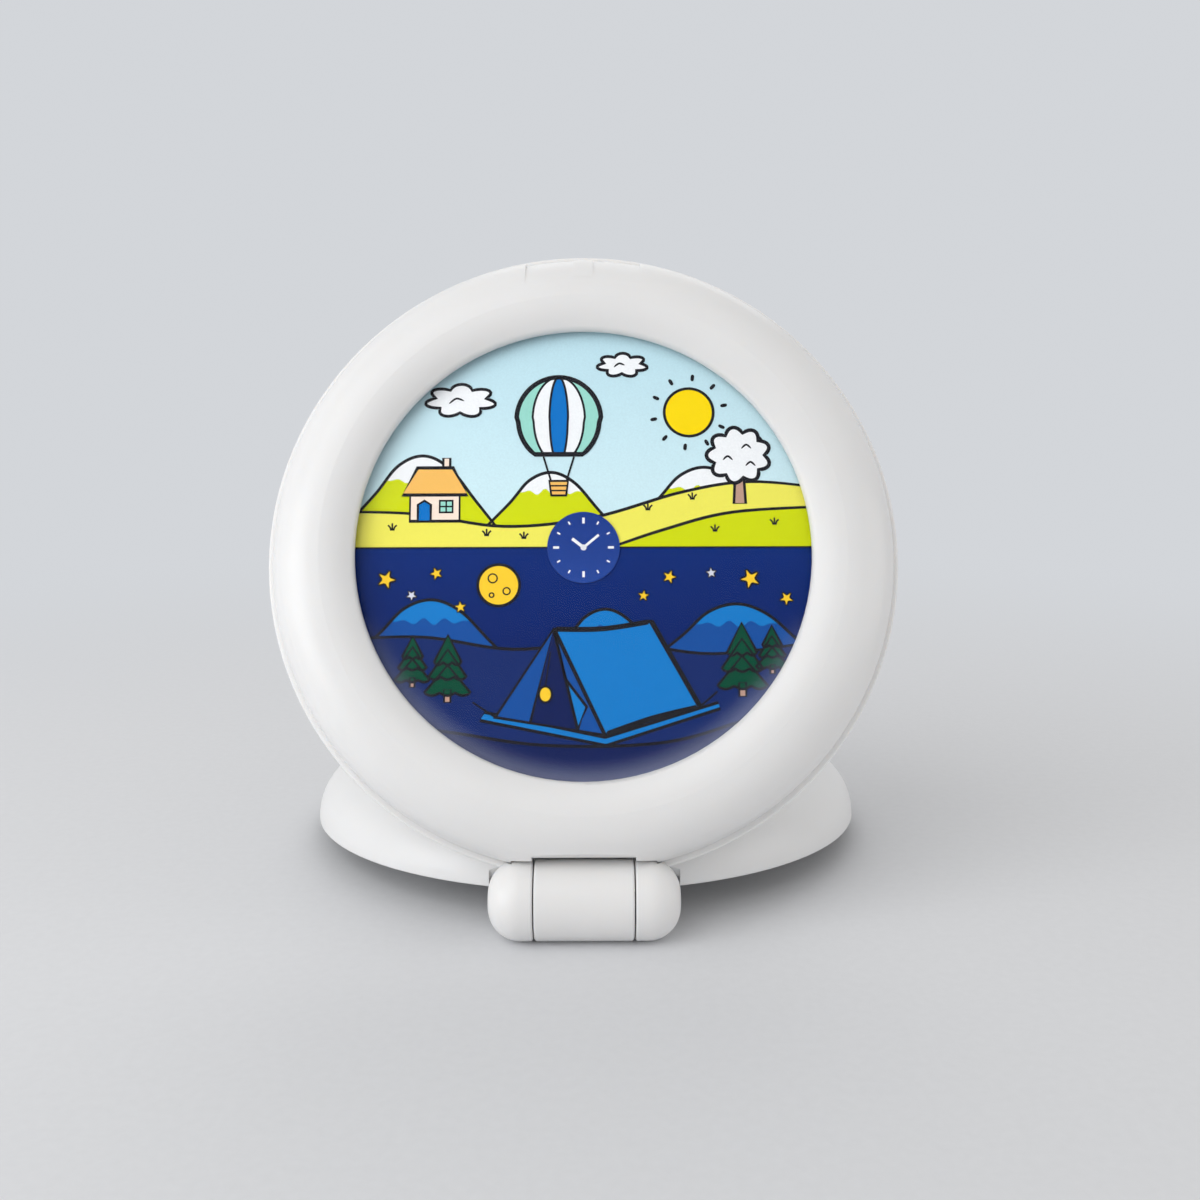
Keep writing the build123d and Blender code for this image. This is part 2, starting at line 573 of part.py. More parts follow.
def add_battery_bay(body, inner):
    """Walled tray for the cells, a ledge for the door and the boss for its screw."""
    low, high = BAY_V - BAY_HALF_V, BAY_V + BAY_HALF_V
    root = BACK_INNER_Z - POT_WALL / 2
    roof = BAY_TOP_Z + BAY_FLOOR
    outer_l = BAY_HALF_L + BAY_WALL
    body += block(-outer_l, outer_l, low - BAY_WALL, high + BAY_WALL, root, roof) & inner
    boss = disc(DOOR_BOSS_R, root, roof, 0, DOOR_SCREW_V)
    body += boss + block(-DOOR_BOSS_R, DOOR_BOSS_R, high, DOOR_SCREW_V, root, roof)
    body -= block(-BAY_HALF_L, BAY_HALF_L, low, high, BACK_Z - 1, BAY_TOP_Z)
    recess = battery_door_outline(FIT_GAP)
    body -= extrude(Pos(0, 0, BACK_Z - 1) * recess, 1 + DOOR_T + SEAT_GAP)
    tip = BACK_Z + BOARD_SCREW_HEAD[1] + DOOR_SCREW_L + SCREW_ROOM
    body -= disc(BOARD_SCREW_SHANK[0] + PILOT_GAP, BACK_Z, tip, 0, DOOR_SCREW_V)
    return body


def battery_door_outline(grow):
    """Door with a round tab for its screw."""
    size = (2 * (DOOR_HALF_L + grow), 2 * (DOOR_HALF_V + grow))
    plate = Pos(0, BAY_V) * RectangleRounded(*size, DOOR_CORNER + grow)
    tab_r = DOOR_TAB_R + grow
    neck = Pos(0, (BAY_V + DOOR_SCREW_V) / 2) * Rectangle(2 * tab_r, DOOR_SCREW_V - BAY_V)
    return plate + neck + Pos(0, DOOR_SCREW_V) * Circle(tab_r)


def cut_controls(body):
    """Openings in the back for the display, buttons, slide switch and speaker."""
    through = (BACK_Z - 1, BACK_INNER_Z + 0.1)
    view_w, view_h = LCD_VIEW
    body -= rounded_plate(view_w, view_h, LCD_CORNER[1], *through, 0, LCD_V)
    glass_w, glass_h, glass_t = LCD_WINDOW
    recess = (glass_w + 2 * FIT_GAP, glass_h + 2 * FIT_GAP, LCD_CORNER[0] + FIT_GAP)
    body -= rounded_plate(*recess, BACK_Z - 1, BACK_Z + glass_t + SEAT_GAP, 0, LCD_V)
    for x, y in button_places():
        body -= disc(BUTTON_R + BUTTON_CLEAR, *through, x, y)
    knob_w, knob_h = SLIDER_KNOB
    slot = (knob_w + 2 * FIT_GAP, knob_h + SLIDER_TRAVEL + 2 * FIT_GAP)
    dish_w, dish_h = SLIDER_DISH
    corner = 2 * FIT_GAP + KNOB_GROOVE[0]
    body -= rounded_plate(*slot, corner, *through, SLIDER_X, SLIDER_MIDDLE)
    finger = (slot[0] + 2 * dish_w, slot[1] + 2 * dish_w, corner + dish_w)
    body -= rounded_plate(*finger, BACK_Z - 1, BACK_Z + dish_h, SLIDER_X, SLIDER_MIDDLE)
    return body - grille_slots(*through)


def grille_slots(z0, z1):
    """Sound slots that fill a circle in front of the speaker."""
    slots = None
    for index in range(GRILLE_SLOTS):
        offset = (index - (GRILLE_SLOTS - 1) / 2) * GRILLE_PITCH
        length = 2 * sqrt(GRILLE_R**2 - offset**2)
        slot = Pos(SPEAKER_X, SPEAKER_V + offset, z0) * SlotOverall(length, GRILLE_SLOT)
        cut = extrude(slot, z1 - z0)
        slots = cut if slots is None else slots + cut
    return slots


def add_hinge_ears(body):
    """Ears that reach past the parting plane, and room for the knuckle between them."""
    axis_v = -HINGE_TO_CENTRE
    wall_half = KNUCKLE_ROOM + EAR_WALL
    wall_top = axis_v + BARREL_R + BARREL_CLEAR + HINGE_WALL
    body += block(-wall_half, wall_half, axis_v + BARREL_R / 2, wall_top, -FLANGE_T, 0)
    for side in (-1, 1):
        body += ear(side)
    under_flat = axis_v + BEZEL_FLAT_S - SEAM
    flat_half = BEZEL_FLAT_HALF - SEAM
    kept = block(-flat_half, flat_half, axis_v, under_flat, 0, BARREL_R)
    body -= (disc(BEZEL_R + SEAM, 0, BARREL_R) & block(-EAR_HALF, EAR_HALF, axis_v, 0, 0, BARREL_R)) - kept
    body -= along_hinge(BARREL_R + BARREL_CLEAR, -KNUCKLE_ROOM, KNUCKLE_ROOM)
    body -= along_hinge(PIN_R + PIN_FIT, -PIN_HALF - FIT_GAP, PIN_HALF + FIT_GAP)
    return body - foot_cut(FACE_TURN)


def housing_screw_tip():
    return -FLANGE_T + HOUSING_SCREW_HEAD[1] + HOUSING_SCREW_SHANK[1]


def housing_screws():
    """Screws that hold the rear housing to the bezel."""
    head_r, head_h = HOUSING_SCREW_HEAD
    shank_r, shank_l = HOUSING_SCREW_SHANK
    return Compound(children=[
        screw(head_r, head_h, shank_r, shank_l, *polar(HOUSING_SCREW_R, angle), -FLANGE_T)
        for angle in SCREW_ANGLES
    ])


def screw(head_r, head_h, shank_r, shank_l, x, y, z):
    """Flat-headed screw pointing up, its head's outer face at z."""
    return heal(disc(head_r, z, z + head_h, x, y) + disc(shank_r, z, z + head_h + shank_l, x, y))


# ---------------------------------------------------------------- control board
def control_board():
    low, high = CONTROL_LOW, CONTROL_HIGH
    board = block(-CONTROL_HALF, CONTROL_HALF, low, high, CONTROL_Z, CONTROL_Z + CONTROL_T)
    board = chamfer(board.edges().filter_by(Axis.Z), BOARD_CORNER)
    board = board & disc(POT_INNER_R - BOARD_ROOM, CONTROL_Z - 1, CONTROL_Z + CONTROL_T + 1)
    for x, y in board_posts():
        board -= disc(BOARD_SCREW_SHANK[0] + HOLE_GAP, CONTROL_Z - 1, CONTROL_Z + CONTROL_T + 1, x, y)
    return heal(board)


def board_screws():
    """Screws of the control board, from its front, and of the light box, from behind."""
    head_r, head_h = BOARD_SCREW_HEAD
    shank_r, shank_l = BOARD_SCREW_SHANK
    base = CONTROL_Z + CONTROL_T + SEAT_GAP
    made = []
    for x, y in board_posts():
        upright = screw(head_r, head_h, shank_r, shank_l, 0, 0, 0)
        made.append(Pos(x, y, base + head_h) * Rot(180, 0, 0) * upright)
    for angle in LED_SCREW_ANGLES:
        x, y = polar(LED_SCREW_R, angle)
        made.append(screw(head_r, head_h, shank_r, shank_l, x, y, LED_BOARD_Z - SEAT_GAP - head_h))
    return Compound(children=made)


def lcd_back_z():
    """Front-facing side of the display glass, towards the control board."""
    return BACK_INNER_Z + SEAT_GAP + LCD_SIZE[2]


def lcd_display():
    width, height, thickness = LCD_SIZE
    z = BACK_INNER_Z + SEAT_GAP
    return block(-width / 2, width / 2, LCD_V - height / 2, LCD_V + height / 2, z, z + thickness)


def lcd_connectors():
    """Two elastomer strips between the display and the control board."""
    width, height, _ = LCD_SIZE
    strips = []
    for side in (-1, 1):
        y = LCD_V + side * (height / 2 - ZEBRA_W)
        half_l = width / 2 - ZEBRA_END
        strips.append(block(-half_l, half_l, y - ZEBRA_W / 2, y + ZEBRA_W / 2, lcd_back_z(), CONTROL_Z))
    return Compound(children=strips)


def lcd_window():
    width, height, thickness = LCD_WINDOW
    return heal(rounded_plate(width, height, LCD_CORNER[0], BACK_Z, BACK_Z + thickness, 0, LCD_V))


def button_places():
    return [((index - 1.5) * BUTTON_PITCH, BUTTON_V) for index in range(4)]


def button_switches():
    """Tactile switches under the four buttons."""
    width, depth, height = SWITCH_BODY
    tip_r, tip_h = SWITCH_TIP
    made = []
    top = CONTROL_Z
    for x, y in button_places():
        body = block(x - width / 2, x + width / 2, y - depth / 2, y + depth / 2, top - height, top)
        made.append(heal(body + disc(tip_r, top - height - tip_h, top - height, x, y)))
    return Compound(children=made)


def push_button(index):
    """Cap with a flange that keeps it in, and a stem over its switch."""
    x, y = button_places()[index]
    flange_r, flange_t = BUTTON_FLANGE
    inner = BACK_INNER_Z + SEAT_GAP
    tip_z = CONTROL_Z - SWITCH_BODY[2] - SWITCH_TIP[1]
    cap = disc(BUTTON_R, BACK_Z - BUTTON_PROUD, inner + flange_t, x, y)
    cap = chamfer(cap.edges().group_by(Axis.Z)[0], BUTTON_EDGE)
    dish_r, dish_h = BUTTON_DISH
    cap -= Pos(x, y, BACK_Z - BUTTON_PROUD + dish_h / 2) * Cone(dish_r, dish_r - 2 * dish_h, dish_h)
    cap += disc(flange_r, inner, inner + flange_t, x, y)
    stem_top = tip_z - BUTTON_TRAVEL - SEAT_GAP
    return heal(cap + disc(BUTTON_STEM_R, inner, max(stem_top, inner + flange_t), x, y))


def slide_switch():
    """Body of the slide switch on the control board."""
    width, length = SLIDER_BODY
    top = BACK_INNER_Z + SEAT_GAP + SLIDER_PLATE[1] + SEAT_GAP
    return block(
        SLIDER_X - width / 2, SLIDER_X + width / 2,
        SLIDER_MIDDLE - length / 2, SLIDER_MIDDLE + length / 2,
        top, CONTROL_Z,
    )


def slide_knob():
    """Ribbed knob on a plate that covers the slot from inside."""
    plate_w, plate_t = SLIDER_PLATE
    knob_w, knob_h = SLIDER_KNOB
    plate_h = knob_h + 2 * (SLIDER_TRAVEL + FIT_GAP)
    inner = BACK_INNER_Z + SEAT_GAP
    front = BACK_Z - SLIDER_PROUD
    x, y = SLIDER_X, SLIDER_V
    plate = block(x - plate_w / 2, x + plate_w / 2, y - plate_h / 2, y + plate_h / 2, inner, inner + plate_t)
    groove_w, groove_d, pitch = KNOB_GROOVE
    knob = rounded_plate(knob_w, knob_h, groove_w, front, inner + plate_t / 2, x, y)
    for step in (-1, 0, 1):
        low = y + step * pitch - groove_w / 2
        knob -= block(x - knob_w, x + knob_w, low, low + groove_w, front - 1, front + groove_d)
    return heal(plate + knob)


def speaker():
    """Small loudspeaker glued behind its grille."""
    z = BACK_INNER_Z + SEAT_GAP
    can = disc(SPEAKER_R, z, z + SPEAKER_RIM, SPEAKER_X, SPEAKER_V)
    magnet = disc(SPEAKER_R * 0.6, z, z + SPEAKER_H, SPEAKER_X, SPEAKER_V)
    cone = Pos(SPEAKER_X, SPEAKER_V, z) * Cone(SPEAKER_R * 0.85, SPEAKER_R * 0.3, SPEAKER_RIM)
    return heal(can + magnet - cone)


def board_link():
    """Plug-together pin strip between the two circuit boards."""
    low = CONTROL_Z + CONTROL_T
    high = LED_BOARD_Z
    socket_l, socket_w = LINK_SOCKET
    header_l, header_w, header_h = LINK_HEADER
    split = high - header_h
    socket = block(-socket_l / 2, socket_l / 2, LINK_V - socket_w / 2, LINK_V + socket_w / 2, low, split)
    header = block(-header_l / 2, header_l / 2, LINK_V - header_w / 2, LINK_V + header_w / 2, split, high)
    return heal(socket + header)


# ---------------------------------------------------------------- batteries
def cell_v(index):
    return BAY_V + (index - (CELL_COUNT - 1) / 2) * CELL_PITCH


def cell_side(index):
    """+1 where the cell's positive end points to +X."""
    return 1 if index % 2 else -1


def battery(index):
    nub_r, nub_l = CELL_NUB
    side = cell_side(index)
    body = Pos(0, cell_v(index), CELL_Z) * Rot(0, 90, 0) * Cylinder(CELL_R, CELL_L)
    body = chamfer(body.edges(), CELL_EDGE)
    nub_x = side * (CELL_L / 2 + nub_l / 2 - CELL_EDGE / 2)
    return heal(body + Pos(nub_x, cell_v(index), CELL_Z) * Rot(0, 90, 0) * Cylinder(nub_r, nub_l + CELL_EDGE))


def battery_springs():
    """Coil contact at the flat end of each cell, drawn as a pleated cone."""
    start = CELL_L / 2 + SEAT_GAP
    pitch = SPRING_L / SPRING_TURNS
    outside = []
    for turn in range(SPRING_TURNS):
        reach = SPRING_R + turn * SPRING_TAPER
        outside.append((reach, (turn + 0.5) * pitch))
        outside.append((reach - SPRING_PLEAT, (turn + 1) * pitch))
    inside = [(SPRING_R - SPRING_PLEAT - SPRING_WALL, SPRING_L), (SPRING_R - SPRING_PLEAT - SPRING_WALL, 0)]
    coil = section([(SPRING_R - SPRING_PLEAT, 0), *outside, *inside])
    made = []
    for index in range(CELL_COUNT):
        side = -cell_side(index)
        made.append(Pos(side * start, cell_v(index), CELL_Z) * Rot(0, side * 90, 0) * coil)
    return Compound(children=made)


def battery_contacts():
    """Plated sheet contacts that line both ends of the bay."""
    half_v = BAY_HALF_V - FIT_GAP
    made = []
    low_z = BACK_Z + DOOR_T + DOOR_ROOM + PLATE_T
    high_z = BAY_TOP_Z - SEAT_GAP
    for side in (-1, 1):
        x0, x1 = sorted((side * (BAY_HALF_L - SEAT_GAP), side * (BAY_HALF_L - SEAT_GAP - PLATE_T)))
        made.append(block(x0, x1, BAY_V - half_v, BAY_V + half_v, low_z, high_z))
    return Compound(children=made)


def battery_door():
    plate = extrude(Pos(0, 0, BACK_Z) * battery_door_outline(0.0), DOOR_T)
    head_r, head_h = BOARD_SCREW_HEAD
    plate -= disc(head_r + HEAD_GAP, BACK_Z - 1, BACK_Z + head_h, 0, DOOR_SCREW_V)
    plate -= disc(BOARD_SCREW_SHANK[0] + HOLE_GAP, BACK_Z - 1, BACK_Z + DOOR_T + 1, 0, DOOR_SCREW_V)
    length, width, depth = GRIP_SLOT
    for step in (-1, 0, 1):
        grip_v = BAY_V - BAY_HALF_V + GRIP_IN + step * GRIP_PITCH
        plate -= extrude(Pos(0, grip_v, BACK_Z - 1) * SlotOverall(length, width), 1 + depth)
    return heal(plate)


def door_screw():
    head_r, head_h = BOARD_SCREW_HEAD
    return screw(head_r, head_h, BOARD_SCREW_SHANK[0], DOOR_SCREW_L, 0, DOOR_SCREW_V, BACK_Z)


# ---------------------------------------------------------------- cover and hinge
def dome(corner, rise, base_z):
    """Round-shouldered dome: edges from the rim up to the axis, and its crown height."""
    crown = corner + rise
    big_r = (COVER_SHOULDER_R**2 + crown**2 - corner**2) / (2 * (crown - corner))
    centre_z = base_z + crown - big_r
    angle = degrees(atan2(base_z - centre_z, COVER_SHOULDER_R))
    shoulder = CenterArc((COVER_SHOULDER_R, base_z), corner, 0, angle)
    return [shoulder, CenterArc((0, centre_z), big_r, angle, 90 - angle)]


def cover_lid():
    base = COVER_RIM_Z
    outer = turned(closed_dome(COVER_CORNER, COVER_RISE, base, base))
    inner_rise = COVER_RISE - COVER_CROWN_EXTRA
    inner = turned(closed_dome(COVER_CORNER - COVER_WALL, inner_rise, base, base - 1))
    shell = outer - inner
    ear_room = EAR_HALF + BARREL_CLEAR
    shell -= along_hinge(BARREL_R + BARREL_CLEAR, -ear_room, ear_room)
    web = block(-KNUCKLE_HALF, KNUCKLE_HALF, -HINGE_TO_CENTRE, BARREL_R - HINGE_TO_CENTRE, base, COVER_CORNER)
    knuckle = along_hinge(BARREL_R, -KNUCKLE_HALF, KNUCKLE_HALF)
    knuckle = chamfer(knuckle.edges().filter_by(GeomType.CIRCLE), BARREL_EDGE)
    shell += knuckle + (web & outer)
    shell += latch_pad(inner)
    shell -= along_hinge(PIN_R + PIN_RUN, -KNUCKLE_HALF - 1, KNUCKLE_HALF + 1)
    return heal(shell - foot_cut(-COVER_SLOPE))


def closed_dome(corner, rise, base_z, foot_z):
    """Outline of the dome down to foot_z, closed along the axis."""
    edges = dome(corner, rise, base_z)
    start = edges[0] @ 0
    top = edges[-1] @ 1
    edges.append(Line(top, (0, foot_z)))
    edges.append(Line((0, foot_z), (start.X, foot_z)))
    if foot_z < base_z:
        edges.append(Line((start.X, foot_z), start))
    return edges


def latch_pad(inner):
    """Raised pad inside the cover's far edge that fits the bezel's pocket, open over its nub."""
    corner = COVER_CORNER - COVER_WALL - POCKET_DEPTH
    core = turned(closed_dome(corner, COVER_RISE - COVER_CROWN_EXTRA, COVER_RIM_Z, COVER_RIM_Z - 1))
    half = POCKET_HALF - LATCH_CLEAR
    start_v = POCKET_V + LATCH_CLEAR
    pad = (inner - core) & block(-half, half, start_v, COVER_R, COVER_RIM_Z + PAD_START, COVER_CORNER)
    slot_half = NUB_HALF + LATCH_CLEAR
    return pad - block(-slot_half, slot_half, NUB_V[0] - LATCH_CLEAR, COVER_R, 0, COVER_CORNER)


def hinge_pin():
    return heal(along_hinge(PIN_R, -PIN_HALF, PIN_HALF))


# ---------------------------------------------------------------- export
def head_pieces():
    pieces = {
        "front_bezel": front_bezel(),
        "window_lens": window_lens(),
        "day_picture": picture(True),
        "night_picture": picture(False),
        "centre_badge": centre_badge(),
        "picture_diffuser": picture_diffuser(),
        "light_box": light_box(),
        "led_board": led_board(),
        "day_leds": leds(DAY_LED_V),
        "night_leds": leds(NIGHT_LED_V),
        "rear_housing": rear_housing(),
        "housing_screws": housing_screws(),
        "control_board": control_board(),
        "board_screws": board_screws(),
        "board_link": board_link(),
        "lcd_display": lcd_display(),
        "lcd_connectors": lcd_connectors(),
        "lcd_window": lcd_window(),
        "button_switches": button_switches(),
        "slide_switch": slide_switch(),
        "slide_knob": slide_knob(),
        "speaker": speaker(),
        "battery_springs": battery_springs(),
        "battery_contacts": battery_contacts(),
        "battery_door": battery_door(),
        "door_screw": door_screw(),
        "hinge_pin": hinge_pin(),
    }
    for index, name in enumerate(("hour", "minute", "wake", "light")):
        pieces[name + "_button"] = push_button(index)
    for index in range(CELL_COUNT):
        pieces["battery_" + str(index + 1)] = battery(index)
    return pieces


def main():
    os.makedirs("parts", exist_ok=True)
    placed = {name: HEAD_PLACE * shape for name, shape in head_pieces().items()}
    placed["cover_lid"] = COVER_PLACE * cover_lid()
    for name, shape in placed.items():
        export_step(shape, "parts/" + name + ".step")


main()
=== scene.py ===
from math import cos, hypot, pi, radians, sin, sqrt

import bmesh
import bpy
from mathutils import Matrix, Vector


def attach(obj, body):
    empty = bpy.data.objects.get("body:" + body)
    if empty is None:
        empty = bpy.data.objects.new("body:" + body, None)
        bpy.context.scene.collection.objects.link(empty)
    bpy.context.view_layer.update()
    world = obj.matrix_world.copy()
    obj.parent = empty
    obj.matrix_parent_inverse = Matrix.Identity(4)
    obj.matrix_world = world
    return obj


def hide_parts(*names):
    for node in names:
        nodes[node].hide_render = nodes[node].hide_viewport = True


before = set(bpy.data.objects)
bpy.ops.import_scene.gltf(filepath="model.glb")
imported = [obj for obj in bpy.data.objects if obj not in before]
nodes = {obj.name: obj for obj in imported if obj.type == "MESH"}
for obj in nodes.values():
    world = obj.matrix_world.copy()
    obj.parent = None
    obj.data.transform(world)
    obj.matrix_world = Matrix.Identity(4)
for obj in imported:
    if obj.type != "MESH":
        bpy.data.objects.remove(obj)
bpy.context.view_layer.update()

MM = 0.001

# ---------------------------------------------------------------- the clock's own frame
# The head is drawn flat in millimetres: x to the right, v up the face from the window's
# centre, w out of the face from the parting plane. face() stands a point up.
HINGE_HEIGHT = 7.85
HINGE_TO_CENTRE = 68.7
FACE_TILT = radians(19.5)
UP_FACE = Vector((0, sin(FACE_TILT), cos(FACE_TILT)))
OUT_OF_FACE = Vector((0, -cos(FACE_TILT), sin(FACE_TILT)))
FACE_CENTRE = Vector((0, 0, HINGE_HEIGHT)) + UP_FACE * HINGE_TO_CENTRE
ART_R = 46.9              # the art runs a little under the bezel's lip
DIVIDE_V = 1.2            # line between the day and the night picture
BADGE_V = 1.0             # centre of the badge
LAYER = 0.012             # step between layers of ink
LINE_WEIGHT = 1.3         # how bold the drawn lines are


def face(x, v, w):
    """Point of the head in the row's frame, in metres."""
    return (FACE_CENTRE + Vector((x, 0, 0)) + UP_FACE * v + OUT_OF_FACE * w) * MM


def front_of(name):
    """How far a CAD piece reaches out of the face in millimetres, without its rounding noise."""
    reach = max((corner.co / MM - FACE_CENTRE).dot(OUT_OF_FACE) for corner in nodes[name].data.vertices)
    return round(reach, 4)


PICTURE_W = front_of("day_picture")
BADGE_W = front_of("centre_badge")


# ---------------------------------------------------------------- node materials
def set_inputs(node, **values):
    """Sets a node's inputs by name; an underscore in a name stands for a space."""
    for socket, value in values.items():
        node.inputs[socket.replace("_", " ")].default_value = value


def feed(tree, socket, value):
    """Sets a socket to a number or a colour, or links another node's output to it."""
    if isinstance(value, tuple):
        socket.default_value = (*value, 1)
    elif isinstance(value, (int, float)):
        socket.default_value = value
    else:
        tree.links.new(value, socket)


def new_material(name, colour, roughness, **sockets):
    """Principled material; returns it with its node tree and its shader node."""
    material = bpy.data.materials.new(name)
    material.use_nodes = True
    tree = material.node_tree
    shader = tree.nodes["Principled BSDF"]
    feed(tree, shader.inputs["Base Color"], colour)
    set_inputs(shader, Roughness=roughness, **sockets)
    return material, tree, shader


def place(tree):
    """Coordinates of the piece itself, which stay put on it when it moves."""
    return tree.nodes.new("ShaderNodeTexCoord").outputs["Object"]


def noise(tree, scale, detail=2.0, stretch=(1, 1, 1)):
    """Cloudy values in the piece's own coordinates, drawn out where a share of stretch is small."""
    mapping = tree.nodes.new("ShaderNodeMapping")
    set_inputs(mapping, Scale=stretch)
    tree.links.new(place(tree), mapping.inputs["Vector"])
    texture = tree.nodes.new("ShaderNodeTexNoise")
    set_inputs(texture, Scale=scale, Detail=detail)
    tree.links.new(mapping.outputs["Vector"], texture.inputs["Vector"])
    return texture.outputs["Fac"]


def bricks(tree, colours, scale, mortar, width, height):
    """Grid in the colours of two kinds of brick and of the mortar between them."""
    grid = tree.nodes.new("ShaderNodeTexBrick")
    set_inputs(grid, Scale=scale, Mortar_Size=mortar, Brick_Width=width, Row_Height=height)
    for socket, colour in zip(("Color1", "Color2", "Mortar"), colours):
        feed(tree, grid.inputs[socket], colour)
    tree.links.new(place(tree), grid.inputs["Vector"])
    return grid


def spread(tree, value, low, high, start=0.3, stop=0.7):
    """Maps start..stop to low..high; noise lies mostly within 0.3 to 0.7."""
    mapping = tree.nodes.new("ShaderNodeMapRange")
    set_inputs(mapping, From_Min=start, From_Max=stop, To_Min=low, To_Max=high)
    tree.links.new(value, mapping.inputs["Value"])
    return mapping.outputs["Result"]


def combine(tree, operation, first, second=0):
    """Result of a math operation; second is left out where it takes one value."""
    node = tree.nodes.new("ShaderNodeMath")
    node.operation = operation
    for socket, value in zip(node.inputs, (first, second)):
        feed(tree, socket, value)
    return node.outputs["Value"]


def blend_colours(tree, factor, low, high, kind="MIX"):
    mix = tree.nodes.new("ShaderNodeMix")
    mix.data_type = "RGBA"
    mix.blend_type = kind
    for socket, value in (("A", low), ("B", high), ("Factor", factor)):
        feed(tree, mix.inputs[socket], value)
    return mix.outputs["Result"]


def measure(tree, operation, other):
    """Distance in metres of a place on the piece, by a vector operation with other."""
    node = tree.nodes.new("ShaderNodeVectorMath")
    node.operation = operation
    node.inputs[1].default_value = other
    tree.links.new(place(tree), node.inputs[0])
    return node.outputs["Value"]


def up_the_face(tree, low, high):
    """Runs from 0 to 1 between two heights in millimetres above the window's centre."""
    start = UP_FACE.dot(FACE_CENTRE)
    return spread(tree, measure(tree, "DOT_PRODUCT", UP_FACE), 0, 1, (start + low) * MM, (start + high) * MM)


def from_centre(tree, low, high):
    """Runs from 0 to 1 between two distances in millimetres from the window's centre."""
    return spread(tree, measure(tree, "DISTANCE", FACE_CENTRE * MM), 0, 1, low * MM, high * MM)


def bump(tree, shader, value, height):
    """Surface relief of the given height in metres."""
    node = tree.nodes.new("ShaderNodeBump")
    node.inputs["Distance"].default_value = height
    tree.links.new(value, node.inputs["Height"])
    tree.links.new(node.outputs["Normal"], shader.inputs["Normal"])


def shade(tree, shader, colour, value, amount):
    """Lets the base colour vary by a small amount either way."""
    low = tuple(channel * (1 - amount) for channel in colour)
    high = tuple(min(channel * (1 + amount), 1) for channel in colour)
    tone = blend_colours(tree, spread(tree, value, 0, 1), low, high)
    tree.links.new(tone, shader.inputs["Base Color"])


def vary_gloss(tree, shader, value, low, high):
    """Lets the roughness run between two values."""
    tree.links.new(spread(tree, value, low, high), shader.inputs["Roughness"])


def moulded(name, colour, roughness, grain=900, relief=0.000004, tone=0.015, **sockets):
    """Moulded plastic: a fine grain in its relief and a slight variation of tone and gloss."""
    material, tree, shader = new_material(name, colour, roughness, **sockets)
    bump(tree, shader, noise(tree, grain, 3), relief)
    cloud = noise(tree, 35, 3)
    shade(tree, shader, colour, cloud, tone)
    vary_gloss(tree, shader, cloud, roughness * 0.88, roughness * 1.12)
    return material


def clear(name, colour, roughness, **sockets):
    """Clear moulded plastic with the faint ripple of its mould."""
    material, tree, shader = new_material(name, colour, roughness, Transmission_Weight=1.0, **sockets)
    bump(tree, shader, noise(tree, 45, 1), 0.000003)
    vary_gloss(tree, shader, noise(tree, 60), roughness * 0.6, roughness * 1.4)
    return material


def steel(name, colour, roughness):
    """Plated steel: fine scratches in its gloss and relief."""
    material, tree, shader = new_material(name, colour, roughness, Metallic=1.0)
    scratches = noise(tree, 1600, stretch=(1, 0.15, 1))
    bump(tree, shader, scratches, 0.000002)
    shade(tree, shader, colour, noise(tree, 200, 3), 0.06)
    vary_gloss(tree, shader, scratches, roughness * 0.75, roughness * 1.3)
    return material


def circuit_board(name):
    """Green solder mask with a grid of lighter tracks."""
    material, tree, shader = new_material(name, (0.02, 0.12, 0.05), 0.35)
    greens = ((0.02, 0.14, 0.06), (0.02, 0.10, 0.045), (0.03, 0.20, 0.09))
    tracks = bricks(tree, greens, 260, 0.12, 1.4, 0.6)
    tree.links.new(tracks.outputs["Color"], shader.inputs["Base Color"])
    bump(tree, shader, tracks.outputs["Fac"], -0.00001)
    return material


def lamp_plastic(name, colour):
    """Slightly clear cap of a light-emitting diode."""
    material, tree, shader = new_material(name, colour, 0.25, Transmission_Weight=0.3)
    shade(tree, shader, colour, noise(tree, 1400, 2), 0.08)
    return material


def display_glass():
    """Liquid-crystal panel switched off: grey-green with a faint cell grid."""
    material, tree, shader = new_material("display_grey", (0.30, 0.34, 0.29), 0.25)
    greys = ((0.31, 0.35, 0.29), (0.30, 0.34, 0.285), (0.27, 0.30, 0.26))
    cells = bricks(tree, greys, 700, 0.03, 0.5, 0.5)
    cells.offset = 0
    tree.links.new(cells.outputs["Color"], shader.inputs["Base Color"])
    return material


PRINT_GLEAM = 0.08        # specular level of printed film, where 0.5 is usual


def mottled(tree, colour):
    """Colour times the faint unevenness of ink on a film."""
    grain = spread(tree, noise(tree, 2600, 1), 0, 1)
    tone = blend_colours(tree, grain, (0.95, 0.95, 0.95), (1.0, 1.0, 1.0))
    return blend_colours(tree, 1, colour, tone, "MULTIPLY")


def painted_rim_reflection(tree, colour):
    """Painted reflection: a pale haze painted into the colour along the lower rim of the window, standing in
    for the lens's reflection of the bezel's lower slope.
    """
    rim = combine(tree, "POWER", from_centre(tree, 41.0, 46.2), 2)
    low = up_the_face(tree, -12, -32)
    amount = combine(tree, "MULTIPLY", combine(tree, "MULTIPLY", rim, low), 0.26)
    # pale blue-white of the painted reflection, strongest at the lower rim
    return blend_colours(tree, amount, colour, (0.62, 0.66, 0.86))


def finish_print(tree, shader, tone):
    """Gives printed film its mottle, a painted reflection along the window's lower rim and the fine tooth of
    its surface.
    """
    tree.links.new(painted_rim_reflection(tree, mottled(tree, tone)), shader.inputs["Base Color"])
    bump(tree, shader, noise(tree, 1500), 0.0000015)


